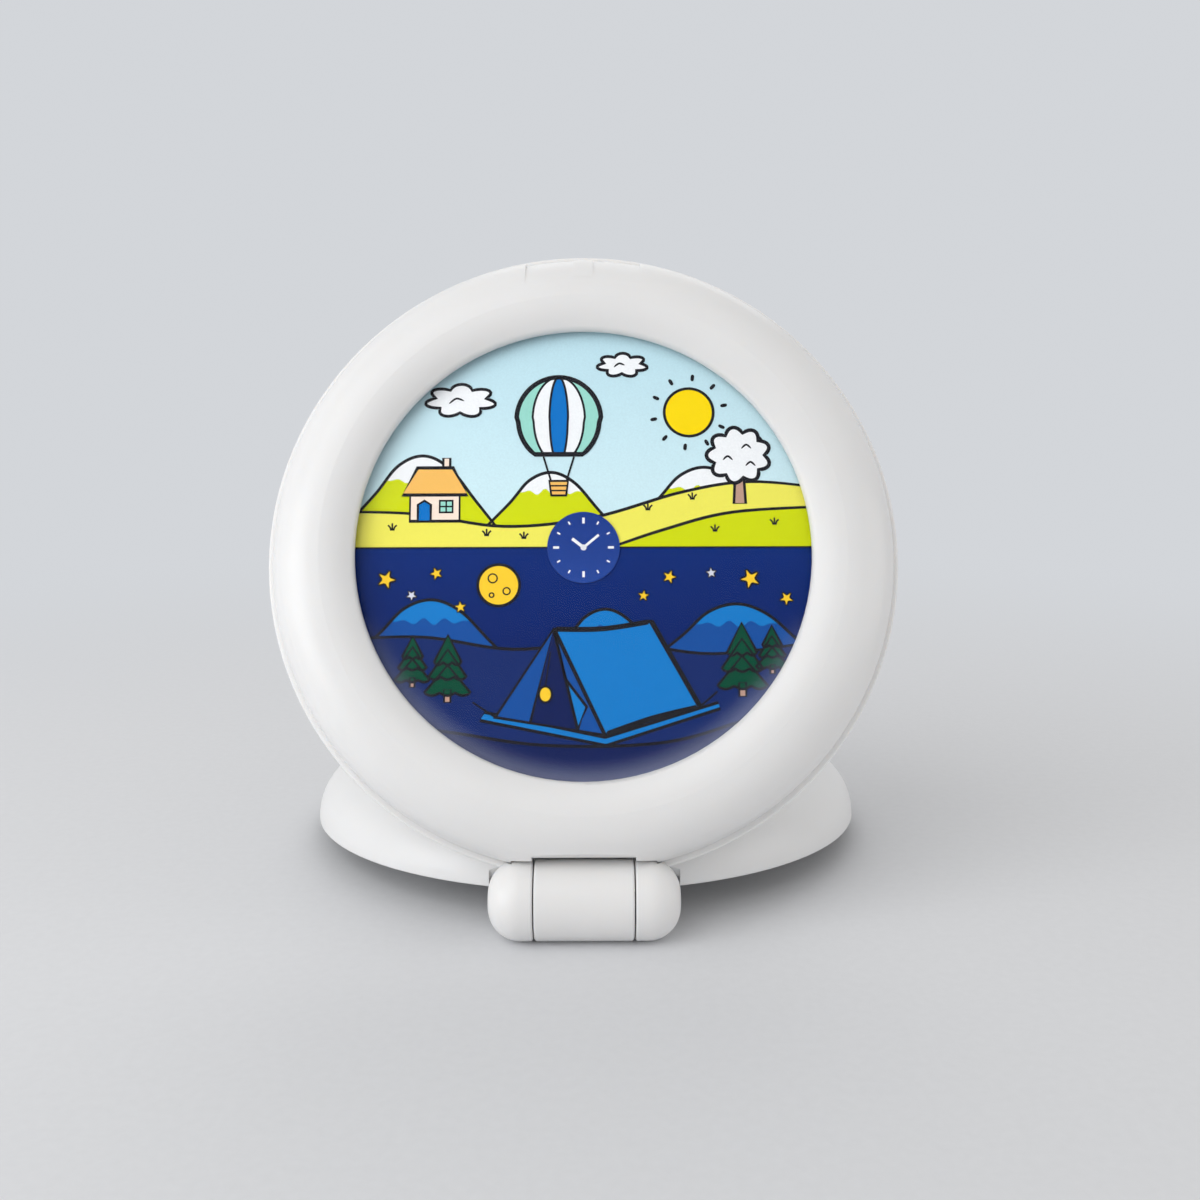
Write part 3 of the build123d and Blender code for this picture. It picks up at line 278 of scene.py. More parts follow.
def sheet_print(name, top, foot, low, high, roughness=0.42):
    """Printed film whose tone runs from foot to top between two heights on the face, with a painted
    reflection along the window's lower rim.
    """
    material, tree, shader = new_material(name, top, roughness, Specular_IOR_Level=PRINT_GLEAM)
    finish_print(tree, shader, blend_colours(tree, up_the_face(tree, low, high), foot, top))
    return material


def ink(name, colour, roughness=0.45):
    """Ink of one colour on a printed sheet, with a painted reflection along the window's lower rim."""
    material, tree, shader = new_material(name, colour, roughness, Specular_IOR_Level=PRINT_GLEAM)
    finish_print(tree, shader, colour)
    return material


CELL_SLEEVE_END = 21.2    # from a cell's middle to the bare steel at each end
CELL_BAND_START = 15.0    # from its middle to the light band before each end


def cell_sleeve():
    """Plain battery sleeve between bare steel ends, with a light band before each end."""
    material, tree, shader = new_material("cell_jacket", (0.05, 0.07, 0.12), 0.3)
    reach = combine(tree, "ABSOLUTE", measure(tree, "DOT_PRODUCT", (1, 0, 0)))
    end = combine(tree, "GREATER_THAN", reach, CELL_SLEEVE_END * MM)
    band = combine(tree, "GREATER_THAN", reach, CELL_BAND_START * MM)
    sleeve = blend_colours(tree, band, (0.04, 0.07, 0.14), (0.30, 0.42, 0.58))
    tree.links.new(blend_colours(tree, end, sleeve, (0.60, 0.60, 0.62)), shader.inputs["Base Color"])
    tree.links.new(end, shader.inputs["Metallic"])
    bump(tree, shader, noise(tree, 300), 0.000005)
    return material


def dress(material, *names):
    """Gives the material to CAD nodes."""
    for name in names:
        data = nodes[name].data
        data.materials.clear()
        data.materials.append(material)


WHITE = (0.80, 0.795, 0.79)
# How far light goes into the white plastic.
DEPTH = {"Subsurface_Weight": 0.5, "Subsurface_Scale": 0.0022, "Subsurface_Radius": (1.0, 0.9, 0.8)}
shell_back = moulded("shell_back", WHITE, 0.42, grain=1400, relief=0.000007, **DEPTH)
dress(moulded("shell_white", WHITE, 0.34, **DEPTH), "front_bezel", "cover_lid")
dress(shell_back, "rear_housing", "battery_door")
dress(clear("clear_plastic", (1.0, 1.0, 1.0), 0.02, IOR=1.14), "window_lens")
dress(clear("smoke_clear", (0.93, 0.95, 0.96), 0.04, IOR=1.46), "lcd_window")
dress(sheet_print("day_print", (0.50, 0.72, 0.79), (0.60, 0.80, 0.85), 14, 44), "day_picture")
dress(sheet_print("night_print", (0.0005, 0.021, 0.165), (0.0003, 0.004, 0.066), -46, 0), "night_picture")
dress(sheet_print("badge_blue", (0.010, 0.040, 0.24), (0.020, 0.062, 0.30), -7, 8, 0.3), "centre_badge")
dress(moulded("diffuser_white", (0.78, 0.78, 0.76), 0.6, grain=1800, relief=0.00001), "picture_diffuser")
dress(moulded("light_box_white", (0.77, 0.77, 0.76), 0.5), "light_box")
dress(circuit_board("board_green"), "led_board", "control_board")
dress(lamp_plastic("led_warm", (0.90, 0.72, 0.30)), "day_leds")
dress(lamp_plastic("led_cool", (0.60, 0.72, 0.95)), "night_leds")
screw_steel = steel("screw_steel", (0.50, 0.50, 0.52), 0.35)
dress(screw_steel, "board_screws", "hinge_pin")
dress(steel("spring_steel", (0.62, 0.62, 0.64), 0.28), "battery_springs", "battery_contacts")
connector_black = moulded("connector_black", (0.02, 0.02, 0.023), 0.45)
dress(connector_black, "board_link", "button_switches", "slide_switch")
speaker_black = moulded("speaker_black", (0.018, 0.018, 0.02), 0.7, grain=2200, relief=0.00002, tone=0.2)
dress(speaker_black, "speaker")
dress(moulded("strip_rubber", (0.45, 0.10, 0.18), 0.7, tone=0.08), "lcd_connectors")
dress(display_glass(), "lcd_display")
button_blue = moulded("button_blue", (0.16, 0.36, 0.62), 0.4, grain=1500, relief=0.000008, tone=0.03)
dress(button_blue, "hour_button", "minute_button", "wake_button", "light_button", "slide_knob")
dress(cell_sleeve(), "battery_1", "battery_2", "battery_3")
for name in ("window_lens", "lcd_window"):
    nodes[name].visible_shadow = False

# ---------------------------------------------------------------- screws
# Of each kind: where its face lies, the radius and height of its head, and its shank.
CASE_SCREW = {"w": -3.2, "radius": 1.9, "height": 1.0, "shank": 1.0, "length": 6.5}
HATCH_SCREW = {"w": -16, "radius": 1.7, "height": 0.9, "shank": 0.8, "length": 4.5}
CASE_SCREW_OUT = 58.2     # from the window's centre to each case screw
HATCH_SCREW_V = -0.296
SCREW_SIDES = 32


def add_ring(mesh, centre, radius, w):
    x, v = centre
    angles = [2 * pi * k / SCREW_SIDES for k in range(SCREW_SIDES)]
    return [mesh.verts.new(face(x + radius * cos(angle), v + radius * sin(angle), w)) for angle in angles]


def join_rings(mesh, first, second):
    for k in range(len(first)):
        mesh.faces.new((first[k - 1], first[k], second[k], second[k - 1]))


def edges_round(mesh, ring):
    """Edges of a closed ring of corners, made where they are missing."""
    pairs = [(ring[k - 1], ring[k]) for k in range(len(ring))]
    return [mesh.edges.get(pair) or mesh.edges.new(pair) for pair in pairs]


def cross_outline(radius, turn):
    """Twelve corners of the cross recess, round its middle."""
    arm, reach = radius * 0.15, radius * 0.60
    corners = []
    for k in range(4):
        angle = turn - k * pi / 2
        corners += [
            (a * cos(angle) - b * sin(angle), a * sin(angle) + b * cos(angle))
            for a, b in ((arm, arm), (reach, arm), (reach, -arm))
        ]
    return corners


def add_screw(mesh, centre, turn, w, radius, height, shank, length):
    """Pan-head screw seen from the back: its head's face at w, its shank running into the case."""
    profile = (
        (radius * 0.86, w), (radius * 0.96, w + height * 0.10), (radius, w + height * 0.32),
        (radius, w + height), (shank, w + height), (shank, w + height + length * 0.9),
        (shank * 0.5, w + height + length),
    )
    rings = [add_ring(mesh, centre, reach, depth) for reach, depth in profile]
    for first, second in zip(rings, rings[1:]):
        join_rings(mesh, first, second)
    mesh.faces.new(rings[-1])
    outline = cross_outline(radius, turn)
    mouth, foot = [
        [mesh.verts.new(face(centre[0] + a * share, centre[1] + b * share, depth)) for a, b in outline]
        for share, depth in ((1.0, w), (0.8, w + height * 0.62))
    ]
    join_rings(mesh, mouth, foot)
    mesh.faces.new(foot)
    edges = edges_round(mesh, rings[0]) + edges_round(mesh, mouth)
    bmesh.ops.triangle_fill(mesh, use_beauty=True, edges=edges)


def add_screws(name, replaced, spots, kind):
    """One piece with every screw of a kind, each turned its own way, in place of the node's plain ones."""
    mesh = bmesh.new()
    for index, centre in enumerate(spots):
        add_screw(mesh, centre, 0.4 + 1.1 * index, **kind)
    bmesh.ops.recalc_face_normals(mesh, faces=mesh.faces)
    data = bpy.data.meshes.new(name)
    mesh.to_mesh(data)
    mesh.free()
    data.materials.append(screw_steel)
    piece = bpy.data.objects.new(name, data)
    bpy.context.scene.collection.objects.link(piece)
    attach(piece, "clock")
    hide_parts(replaced)


side = CASE_SCREW_OUT * sqrt(0.5)
case_spots = [(a * side, b * side) for a in (-1, 1) for b in (-1, 1)]
add_screws("case_screws", "housing_screws", case_spots, CASE_SCREW)
add_screws("hatch_screw", "door_screw", [(0, HATCH_SCREW_V)], HATCH_SCREW)

# ---------------------------------------------------------------- printed art
INKS = {
    "black": (0.012, 0.012, 0.016),
    "white": (0.88, 0.89, 0.90),
    "lime": (0.62, 0.69, 0.002),
    "field": (0.86, 0.80, 0.11),
    "sun": (0.95, 0.68, 0.0),
    "teal": (0.32, 0.68, 0.58),
    "cream": (0.93, 0.76, 0.64),
    "orange": (0.90, 0.50, 0.12),
    "blue": (0.0, 0.16, 0.53),
    "bark": (0.52, 0.32, 0.24),
    "dusk": (0.006, 0.022, 0.13),
    "deep": (0.004, 0.012, 0.085),
    "hill": (0.006, 0.075, 0.32),
    "cap": (0.006, 0.19, 0.55),
    "pine": (0.0, 0.065, 0.032),
    "star": (0.95, 0.60, 0.03),
    "pale": (0.70, 0.72, 0.80),
}
ink_materials = {name: ink("ink_" + name, colour) for name, colour in INKS.items()}


def smooth(points, closed=True, steps=8):
    """Catmull-Rom curve through the points."""
    count = len(points)

    def pick(index):
        return points[index % count if closed else min(max(index, 0), count - 1)]

    curve = []
    for index in range(count if closed else count - 1):
        near = [pick(index + shift) for shift in (-1, 0, 1, 2)]
        for step in range(steps):
            t = step / steps
            weights = (
                (-t + 2 * t**2 - t**3) / 2,
                (2 - 5 * t**2 + 3 * t**3) / 2,
                (t + 4 * t**2 - 3 * t**3) / 2,
                (-(t**2) + t**3) / 2,
            )
            curve.append(tuple(sum(w * p[axis] for w, p in zip(weights, near)) for axis in (0, 1)))
    if not closed:
        curve.append(tuple(points[-1]))
    return curve


def oval(x, v, rx, rv=None, turns=40):
    rv = rv or rx
    return [(x + rx * cos(2 * pi * k / turns), v + rv * sin(2 * pi * k / turns)) for k in range(turns)]


def scallops(x, v, rx, rv, count, depth, start=0.0):
    """Closed outline of an oval with rounded lobes, as a cloud or a leafy crown has."""
    outline = []
    for k in range(count * 8):
        lobe = 1 + depth * (abs(sin(pi * k / 8)) - 0.6)
        angle = start + 2 * pi * k / (count * 8)
        outline.append((x + rx * lobe * cos(angle), v + rv * lobe * sin(angle)))
    return outline


def star(x, v, radius, turn=0.0):
    """Five-pointed star with slightly blunt points."""
    corners = []
    for k in range(10):
        reach = radius if k % 2 == 0 else radius * 0.52
        angle = pi / 2 + turn + k * pi / 5
        for nudge in (-0.09, 0.09):
            corners.append((x + reach * cos(angle + nudge), v + reach * sin(angle + nudge)))
    return corners


def inside_only(polygon, upper):
    """Part of a polygon inside the art's edge and on its own side of the dividing line."""
    side = 1 if upper else -1
    planes = [((0, -side), -side * DIVIDE_V)]
    if any(hypot(*point) > ART_R for point in polygon):
        planes += [((cos(pi * k / 60), sin(pi * k / 60)), ART_R) for k in range(120)]
    for normal, limit in planes:
        kept = []
        for k, point in enumerate(polygon):
            before = polygon[k - 1]
            depth = limit - normal[0] * point[0] - normal[1] * point[1]
            depth_before = limit - normal[0] * before[0] - normal[1] * before[1]
            if depth * depth_before < 0:
                share = depth_before / (depth_before - depth)
                kept.append(tuple(b + (p - b) * share for p, b in zip(point, before)))
            if depth >= 0:
                kept.append(point)
        polygon = kept
        if len(polygon) < 3:
            return []
    return polygon


def line_quads(points, width, closed, taper):
    """Quads of an ink line; taper thins an open line towards its ends."""
    count = len(points)
    sides = []
    for k, (x, v) in enumerate(points):
        before = points[k - 1] if closed or k else points[0]
        after = points[(k + 1) % count] if closed or k < count - 1 else points[-1]
        dx, dv = after[0] - before[0], after[1] - before[1]
        length = hypot(dx, dv) or 1
        half = width / 2
        if taper:
            half *= 1 - taper * abs(2 * k / (count - 1) - 1) ** 3
        nx, nv = -dv / length * half, dx / length * half
        sides.append(((x + nx, v + nv), (x - nx, v - nv)))
    last = count if closed else count - 1
    return [
        [sides[k][0], sides[k][1], sides[(k + 1) % count][1], sides[(k + 1) % count][0]]
        for k in range(last)
    ]


sheets = {}


def add_print(group, ink_name, layer, polygons, upper):
    """Collects polygons of one ink on one layer of a picture."""
    kept = [inside_only(polygon, upper) for polygon in polygons]
    sheets.setdefault((group, ink_name, layer), []).extend(p for p in kept if p)


def fill(group, ink_name, layer, outline, upper=True, line=0.0, line_layer=None):
    """Filled shape, with a black outline where a line width is given."""
    add_print(group, ink_name, layer, [outline], upper)
    if line:
        stroke(group, outline, line, upper, layer if line_layer is None else line_layer)


def stroke(group, points, width, upper=True, layer=10, closed=True, taper=0.0, ink_name="black"):
    add_print(group, ink_name, layer + 0.5, line_quads(points, width * LINE_WEIGHT, closed, taper), upper)


def hill(group, ink_name, layer, top, upper):
    """Ground under a smooth top line."""
    curve = smooth(top, closed=False)
    floor = DIVIDE_V if upper else -ART_R
    add_print(group, ink_name, layer, [[*curve, (curve[-1][0], floor), (curve[0][0], floor)]], upper)
    stroke(group, curve, 0.5, upper, layer, closed=False, taper=0.3)


def capped_hill(group, layer, centre, peak, half_width, upper, colours, foot):
    """Round hill with a cap of another colour that ends in a wavy edge."""
    shape = (
        (-1.15, 0.0), (-0.62, 0.52), (-0.3, 0.88), (0.05, 1.0),
        (0.4, 0.84), (0.75, 0.45), (1.15, 0.0),
    )
    top = [(centre + half_width * a, foot + (peak - foot) * b) for a, b in shape]
    curve = smooth(top, closed=False)
    add_print(group, colours[0], layer, [curve], upper)
    level = foot + (peak - foot) * 0.70
    cap = [point for point in curve if point[1] > level]
    reach = cap[-1][0] - cap[0][0]
    edge = [
        (cap[-1][0] - reach * k / 24, level + 0.75 * sin(k * pi / 3.2) * sin(pi * k / 24))
        for k in range(25)
    ]
    add_print(group, colours[1], layer + 0.25, [[*cap, *edge]], upper)
    stroke(group, curve, 0.5, upper, layer, closed=False, taper=0.2)


def draw_day():
    group = "day"
    for centre, peak, half_width in ((-7, 16.5, 13), (-33, 20.0, 15), (24, 17.5, 15)):
        capped_hill(group, 1, centre, peak, half_width, True, ("lime", "white"), 3.0)
    meadow = [(-50, 8.5), (-34, 8.0), (-16, 5.4), (2, 7.2), (20, 12.4), (34, 14.5), (50, 13.0)]
    hill(group, "field", 2, meadow, True)
    hill(group, "lime", 3, [(4, 0.5), (16, 4.6), (30, 8.2), (50, 9.4)], True)
    draw_sun(group, 21.5, 29.0, 5.0)
    for x, v, size in ((-25.0, 31.5, 1.0), (8.0, 39.0, 0.72), (33.0, 22.5, 0.5)):
        draw_cloud(group, x, v, size)
    draw_balloon(group, -5.0, 27.5, 8.6)
    draw_cottage(group, -30.0, 6.5)
    draw_tree(group, 31.5, 10.0)
    for x, v in (
        (-38.5, 4.6), (-19.5, 3.4), (-12.0, 2.8), (13.0, 8.6),
        (22.0, 10.8), (26.5, 4.2), (38.5, 5.6),
    ):
        draw_tuft(group, x, v)


def draw_sun(group, x, v, radius):
    fill(group, "sun", 4, oval(x, v, radius), line=0.45)
    for k in range(10):
        angle = 2 * pi * k / 10 + 0.2
        reaches = (radius + 1.6, radius + 3.0)
        ends = [(x + reach * cos(angle), v + reach * sin(angle)) for reach in reaches]
        stroke(group, smooth(ends, closed=False), 0.55, layer=4, closed=False, taper=0.7)


def draw_cloud(group, x, v, size):
    outline = scallops(x, v, 6.4 * size, 3.1 * size, 7, 0.34, 0.2)
    fill(group, "white", 4, outline, line=0.5)
    curl = [(x - 2.4 * size, v - 0.6 * size), (x - 0.9 * size, v + 0.5 * size), (x + 0.7 * size, v)]
    stroke(group, smooth(curl, closed=False), 0.32, layer=4, closed=False, taper=0.8)


def draw_balloon(group, x, v, radius):
    """Striped balloon: gores between curves from the crown to the skirt."""
    def gore(side):
        """Points at a share of the width, from the crown down."""
        angles = [pi / 2 - k * pi * 0.80 / 20 for k in range(21)]
        return [
            (x + side * radius * cos(a) * (1.0 if a > 0 else 0.96), v + radius * sin(a) * 1.04)
            for a in angles
        ]

    edges = (-1.0, -0.62, -0.22, 0.22, 0.62, 1.0)
    inks = ("teal", "white", "blue", "white", "teal")
    for left, right, name in zip(edges, edges[1:], inks):
        add_print(group, name, 5, [[*gore(left), *reversed(gore(right))]], True)
    for side in edges[1:-1]:
        stroke(group, gore(side), 0.35, layer=5, closed=False)
    stroke(group, [*gore(-1.0), *reversed(gore(1.0))], 0.75, layer=5)
    low = v - radius * 1.02
    for side in (-1, 1):
        stroke(group, [(x + side * radius * 0.36, v - radius * 0.90), (x + side * 1.5, low - 4.2)],
               0.3, layer=5, closed=False)
    basket = [(x - 1.9, low - 4.0), (x + 1.9, low - 4.0), (x + 1.5, low - 7.0), (x - 1.5, low - 7.0)]
    fill(group, "orange", 6, basket, line=0.45)
    for k in (1, 2):
        stroke(group, [(x - 1.7, low - 4.0 - k), (x + 1.7, low - 4.0 - k)], 0.25, layer=6, closed=False)


def draw_cottage(group, x, v):
    wall = [(x - 5, v), (x + 5, v), (x + 5, v + 6), (x - 5, v + 6)]
    roof = [(x - 6.6, v + 5.4), (x + 6.6, v + 5.4), (x + 3.6, v + 11), (x - 3.6, v + 11)]
    door = [(x - 3.4, v), (x - 0.8, v), (x - 0.8, v + 3.4), (x - 2.1, v + 4.2), (x - 3.4, v + 3.4)]
    pane = [(x + 1.0, v + 1.8), (x + 3.6, v + 1.8), (x + 3.6, v + 4.2), (x + 1.0, v + 4.2)]
    stack = [(x + 1.6, v + 9), (x + 3.0, v + 9), (x + 3.0, v + 13), (x + 1.6, v + 13)]
    fill(group, "cream", 4, stack, line=0.4)
    fill(group, "cream", 5, wall, line=0.55)
    fill(group, "orange", 6, roof, line=0.6)
    fill(group, "blue", 6, door, line=0.4)
    fill(group, "teal", 6, pane, line=0.4)
    stroke(group, [(x + 2.3, v + 1.8), (x + 2.3, v + 4.2)], 0.25, layer=6, closed=False)
    stroke(group, [(x + 1.0, v + 3.0), (x + 3.6, v + 3.0)], 0.25, layer=6, closed=False)


def draw_tree(group, x, v):
    trunk = [(x - 1.1, v), (x + 1.3, v), (x + 0.9, v + 7), (x - 0.7, v + 7)]
    fill(group, "bark", 4, trunk, line=0.45)
    fill(group, "white", 5, scallops(x, v + 10.0, 6.0, 5.4, 9, 0.22), line=0.6)
    for dx, dv in ((-2.2, 9.0), (1.6, 11.4), (2.4, 7.8)):
        leaf = [(x + dx - 1, v + dv), (x + dx, v + dv + 0.8), (x + dx + 1, v + dv)]
        stroke(group, smooth(leaf, closed=False), 0.32, layer=5, closed=False, taper=0.8)


def draw_tuft(group, x, v):
    """Three blades of grass."""
    for lean, height in ((-0.9, 1.1), (0.0, 1.5), (0.9, 1.1)):
        blade = [(x + 0.3 * lean, v), (x + 0.5 * lean, v + 0.6 * height), (x + lean, v + height)]
        stroke(group, smooth(blade, closed=False), 0.26, layer=4, closed=False)


def draw_night():
    group = "night"
    for centre, peak, half_width in ((-31, -9.5, 16), (30, -10.5, 17), (4, -11.5, 12)):
        capped_hill(group, 1, centre, peak, half_width, False, ("hill", "cap"), -24.0)
    line_v = DIVIDE_V - 0.16
    stroke(group, [(-ART_R, line_v), (ART_R, line_v)], 0.24, False, 8, closed=False)
    ridge = [(-50, -17.5), (-32, -17.0), (-14, -19.5), (6, -18.0), (26, -20.5), (50, -17.5)]
    hill(group, "dusk", 2, ridge, False)
    ground = [(-50, -35), (-30, -35.5), (-8, -38.5), (16, -38.0), (34, -33.0), (50, -28.5)]
    hill(group, "deep", 3, ground, False)
    fill(group, "star", 4, oval(-17.0, -6.6, 4.2), False, line=0.45)
    for x, v, radius in ((-18.2, -5.2, 0.9), (-15.4, -7.8, 0.7), (-18.4, -8.6, 0.45)):
        stroke(group, oval(x, v, radius, turns=20), 0.22, False, 4)
    for x, v, radius, name in (
        (-39.5, -5.4, 1.9, "star"), (-29.5, -4.2, 1.3, "star"), (-34.4, -8.6, 1.1, "pale"),
        (17.2, -5.0, 1.4, "star"), (25.6, -4.2, 1.1, "pale"), (33.4, -5.4, 2.0, "star"),
        (40.6, -9.4, 1.4, "star"), (-24.6, -11.0, 1.2, "star"), (12.0, -8.8, 1.15, "star"),
    ):
        fill(group, name, 4, star(x, v, radius, 0.2 * x), False, line=0.05 + 0.13 * radius)
    for x, v, size in (
        (-34.0, -27.0, 0.8), (-27.0, -30.0, 1.05), (31.5, -29.0, 1.15), (37.5, -24.5, 0.75),
    ):
        draw_pine(group, x, v, size)
    draw_tent(group)


def draw_pine(group, x, v, size):
    half, top = 0.6 * size, v + 2.4 * size
    trunk = [(x - half, v), (x + half, v), (x + half, top), (x - half, top)]
    fill(group, "bark", 5, trunk, False, line=0.35)
    for tier, (low, reach) in enumerate(((1.8, 4.4), (4.8, 3.6), (7.6, 2.6))):
        tip = (x, v + (low + 5.2) * size)
        left, right = x - reach * size, x + reach * size
        skirt = [
            (right - (right - left) * k / 24, v + low * size - 0.55 * size * abs(sin(pi * k / 8)))
            for k in range(25)
        ]
        layer = 5.5 + 0.25 * tier
        fill(group, "pine", layer, [tip, *skirt], False, line=0.42, line_layer=5.6 + 0.25 * tier)


def draw_tent(group):
    apex, far_apex = (-6.0, -15.5), (13.5, -14.0)
    left, right, far = (-17.5, -33.0), (4.0, -36.5), (23.0, -31.0)
    mat = [(-20.5, -33.6), (4.4, -38.6), (27.0, -31.4), (26.6, -30.2), (4.2, -37.0), (-19.6, -32.0)]
    fill(group, "cap", 5, mat, False, line=0.5)
    fill(group, "cap", 6, smooth_side([apex, far_apex, far, right]), False, line=0.8)
    fill(group, "hill", 7, [apex, left, right], False, line=0.8)
    flap = [apex, (-10.6, -34.1), (-1.2, -35.6)]
    fill(group, "deep", 7.5, flap, False, line=0.5)
    fold = [apex, (-3.6, -25.5), (0.6, -31.0), (-1.2, -35.6)]
    fill(group, "cap", 7.8, fold, False, line=0.5)
    lamp = oval(-7.6, -28.5, 1.3, 1.6, 20)
    fill(group, "star", 8, lamp, False, line=0.35)
    stroke(group, [(-7.6, -26.9), (-6.6, -20.0)], 0.25, False, 8, closed=False)
    for start, end in ((left, (-22.0, -30.0)), (far, (26.5, -28.0))):
        stroke(group, [start, end], 0.3, False, 6, closed=False)


def smooth_side(corners):
    """Side of the tent, bowed a little along its ridge and its foot."""
    a, b, c, d = corners
    ridge = [a, ((a[0] + b[0]) / 2, (a[1] + b[1]) / 2 - 0.7), b]
    foot = [c, ((c[0] + d[0]) / 2, (c[1] + d[1]) / 2 + 0.5), d]
    return [*smooth(ridge, closed=False), *smooth(foot, closed=False)]


def build_sheets():
    """One flat piece for each ink on each layer."""
    for (group, ink_name, layer), polygons in sorted(sheets.items()):
        vertices, faces = [], []
        w = (BADGE_W if group == "badge" else PICTURE_W) + LAYER * (1 + layer)
        for polygon in polygons:
            faces.append(list(range(len(vertices), len(vertices) + len(polygon))))
            vertices += [face(x, v, w) for x, v in polygon]
        name = f"print_{group}_{ink_name}_{layer:.2f}".replace(".", "_")
        mesh = bpy.data.meshes.new(name)
        mesh.from_pydata(vertices, [], faces)
        mesh.materials.append(ink_materials[ink_name])
        piece = bpy.data.objects.new(name, mesh)
        bpy.context.scene.collection.objects.link(piece)
        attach(piece, "clock")


TICK_OUTER = 6.1          # from the badge's centre to the outer end of its ticks
HUB_R = 0.6


def draw_badge():
    """Ring of twelve ticks round two hands."""
    marks = []
    for hour in range(12):
        inner, width = (4.9, 0.5) if hour % 3 == 0 else (5.4, 0.32)
        marks.append(bar(hour * pi / 6, inner, TICK_OUTER, width))
    for angle, length, width in ((radians(142), 2.9, 0.62), (radians(40), 4.0, 0.5)):
        marks.append(bar(angle, -HUB_R, length, width))
    marks.append(oval(0, BADGE_V, HUB_R, turns=20))
    sheets[("badge", "white", 0.0)] = marks


def bar(angle, start, end, width):
    """Straight mark on the badge between two distances from its centre."""
    across, up = cos(angle), sin(angle)
    half = width / 2
    return [
        (reach * across - side * half * up, BADGE_V + reach * up + side * half * across)
        for reach, side in ((start, -1), (end, -1), (end, 1), (start, 1))
    ]


draw_day()
draw_night()
draw_badge()
build_sheets()

# ---------------------------------------------------------------- camera
VIEW_TARGET = Vector((3.219, 0, 68.303)) * MM
VIEW_DISTANCE = 0.2604
VIEW_ELEVATION = radians(11.234)
VIEW_AZIMUTH = radians(-0.229)
VIEW_ROLL = radians(-0.12)
LENS = 41.235


def add_camera():
    away = Vector((
        sin(VIEW_AZIMUTH) * cos(VIEW_ELEVATION),
        -cos(VIEW_AZIMUTH) * cos(VIEW_ELEVATION),
        sin(VIEW_ELEVATION),
    ))
    camera = bpy.data.objects.new("camera", bpy.data.cameras.new("camera"))
    camera.data.lens = LENS
    camera.data.sensor_width = 36
    camera.data.sensor_fit = "HORIZONTAL"
    camera.data.clip_start = 0.01
    turn = (-away).to_track_quat("-Z", "Y").to_matrix() @ Matrix.Rotation(VIEW_ROLL, 3, "Z")
    camera.matrix_world = Matrix.Translation(VIEW_TARGET + away * VIEW_DISTANCE) @ turn.to_4x4()
    bpy.context.scene.collection.objects.link(camera)
    bpy.context.scene.camera = camera


add_camera()

# ---------------------------------------------------------------- floor and light
STUDIO = (0.65, 0.67, 0.70)       # pale grey behind the clock
FLOOR = (0.69, 0.70, 0.72)
DAYLIGHT = (1.0, 0.99, 0.98)
FLOOR_HALF = 4.0                  # metres
FADE = (0.12, 0.5)                # metres from the origin between which the floor fades out
LAMP_AIM = Vector((0, 0.03, 0.06))


def seen(tree):
    """1 for a ray that shows what is behind the object, 0 for one that only carries light."""
    path = tree.nodes.new("ShaderNodeLightPath")
    first = combine(tree, "MAXIMUM", path.outputs["Is Camera Ray"], path.outputs["Is Glossy Ray"])
    return combine(tree, "MAXIMUM", first, path.outputs["Is Transmission Ray"])


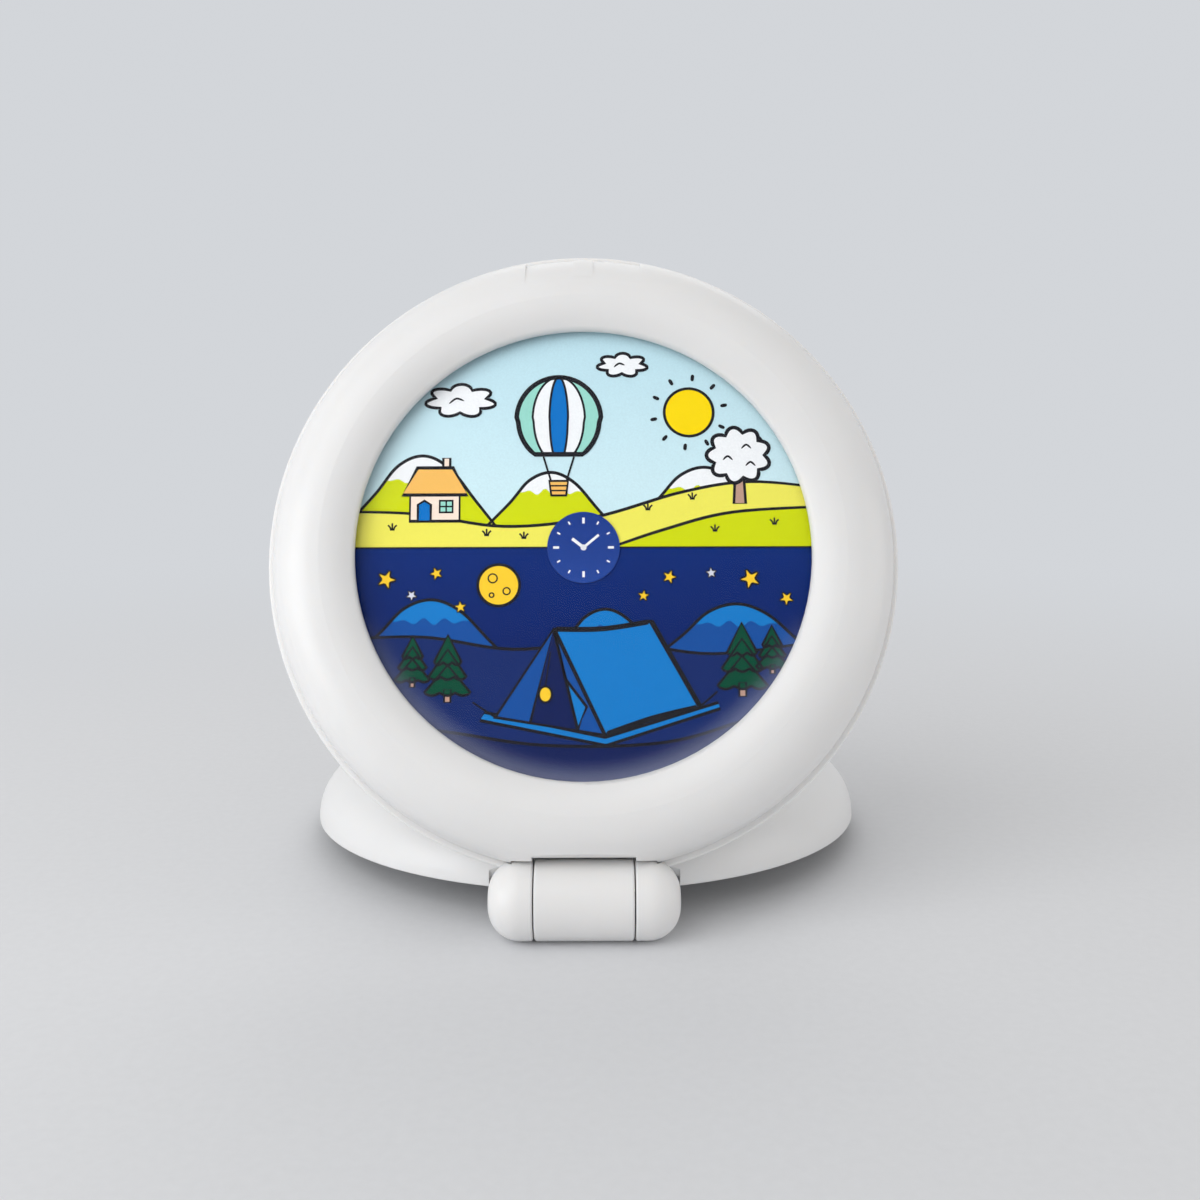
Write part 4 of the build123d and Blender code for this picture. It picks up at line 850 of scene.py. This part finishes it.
def add_floor():
    """Paper floor that fades into the backdrop's tone, for a ray that shows what is there."""
    mesh = bpy.data.meshes.new("floor")
    corners = [(a * FLOOR_HALF, b * FLOOR_HALF, 0) for a, b in ((-1, -1), (1, -1), (1, 1), (-1, 1))]
    mesh.from_pydata(corners, [], [(0, 1, 2, 3)])
    floor = bpy.data.objects.new("floor", mesh)
    bpy.context.scene.collection.objects.link(floor)
    material, tree, shader = new_material("floor_paper", FLOOR, 0.9, Specular_IOR_Level=0.2)
    shade(tree, shader, FLOOR, noise(tree, 500, 4), 0.012)
    far = tree.nodes.new("ShaderNodeVectorMath")
    far.operation = "LENGTH"
    tree.links.new(place(tree), far.inputs[0])
    fade = tree.nodes.new("ShaderNodeMapRange")
    fade.interpolation_type = "SMOOTHSTEP"
    set_inputs(fade, From_Min=FADE[0], From_Max=FADE[1])
    tree.links.new(far.outputs["Value"], fade.inputs["Value"])
    glow = tree.nodes.new("ShaderNodeEmission")
    feed(tree, glow.inputs["Color"], STUDIO)
    mix = tree.nodes.new("ShaderNodeMixShader")
    tree.links.new(combine(tree, "MULTIPLY", fade.outputs["Result"], seen(tree)), mix.inputs["Fac"])
    tree.links.new(shader.outputs["BSDF"], mix.inputs[1])
    tree.links.new(glow.outputs["Emission"], mix.inputs[2])
    tree.links.new(mix.outputs["Shader"], tree.nodes["Material Output"].inputs["Surface"])
    mesh.materials.append(material)


def add_lamp(name, at, size, power, colour):
    """Round soft lamp, aimed at the clock and unseen by the camera."""
    light = bpy.data.lights.new(name, "AREA")
    light.shape = "DISK"
    light.size = size
    light.energy = power
    light.color = colour
    lamp = bpy.data.objects.new(name, light)
    lamp.location = at
    lamp.visible_camera = False
    lamp.rotation_euler = (LAMP_AIM - Vector(at)).to_track_quat("-Z", "Y").to_euler()
    bpy.context.scene.collection.objects.link(lamp)


def light_world(strength):
    """Even daylight, with the studio's grey wherever the world itself is seen."""
    world = bpy.data.worlds.new("studio")
    world.use_nodes = True
    tree = world.node_tree
    background = tree.nodes["Background"]
    backdrop = seen(tree)
    tone = blend_colours(tree, backdrop, DAYLIGHT, STUDIO)
    tree.links.new(tone, background.inputs["Color"])
    tree.links.new(spread(tree, backdrop, strength, 1, 0, 1), background.inputs["Strength"])
    bpy.context.scene.world = world


add_floor()
add_lamp("key_left", (-0.53, -0.25, 0.17), 0.4, 1.15, (0.97, 0.985, 1.0))
add_lamp("soft_top", (-0.55, -0.60, 0.85), 1.0, 3.6, (1.0, 1.0, 1.0))
add_lamp("fill_right", (0.60, -0.12, 0.16), 0.4, 0.45, (1.0, 0.985, 0.97))
add_lamp("rim_back", (0.10, 0.70, 0.65), 0.7, 0.9, (1.0, 1.0, 1.0))
light_world(0.63)
bpy.context.scene.view_settings.view_transform = "Standard"
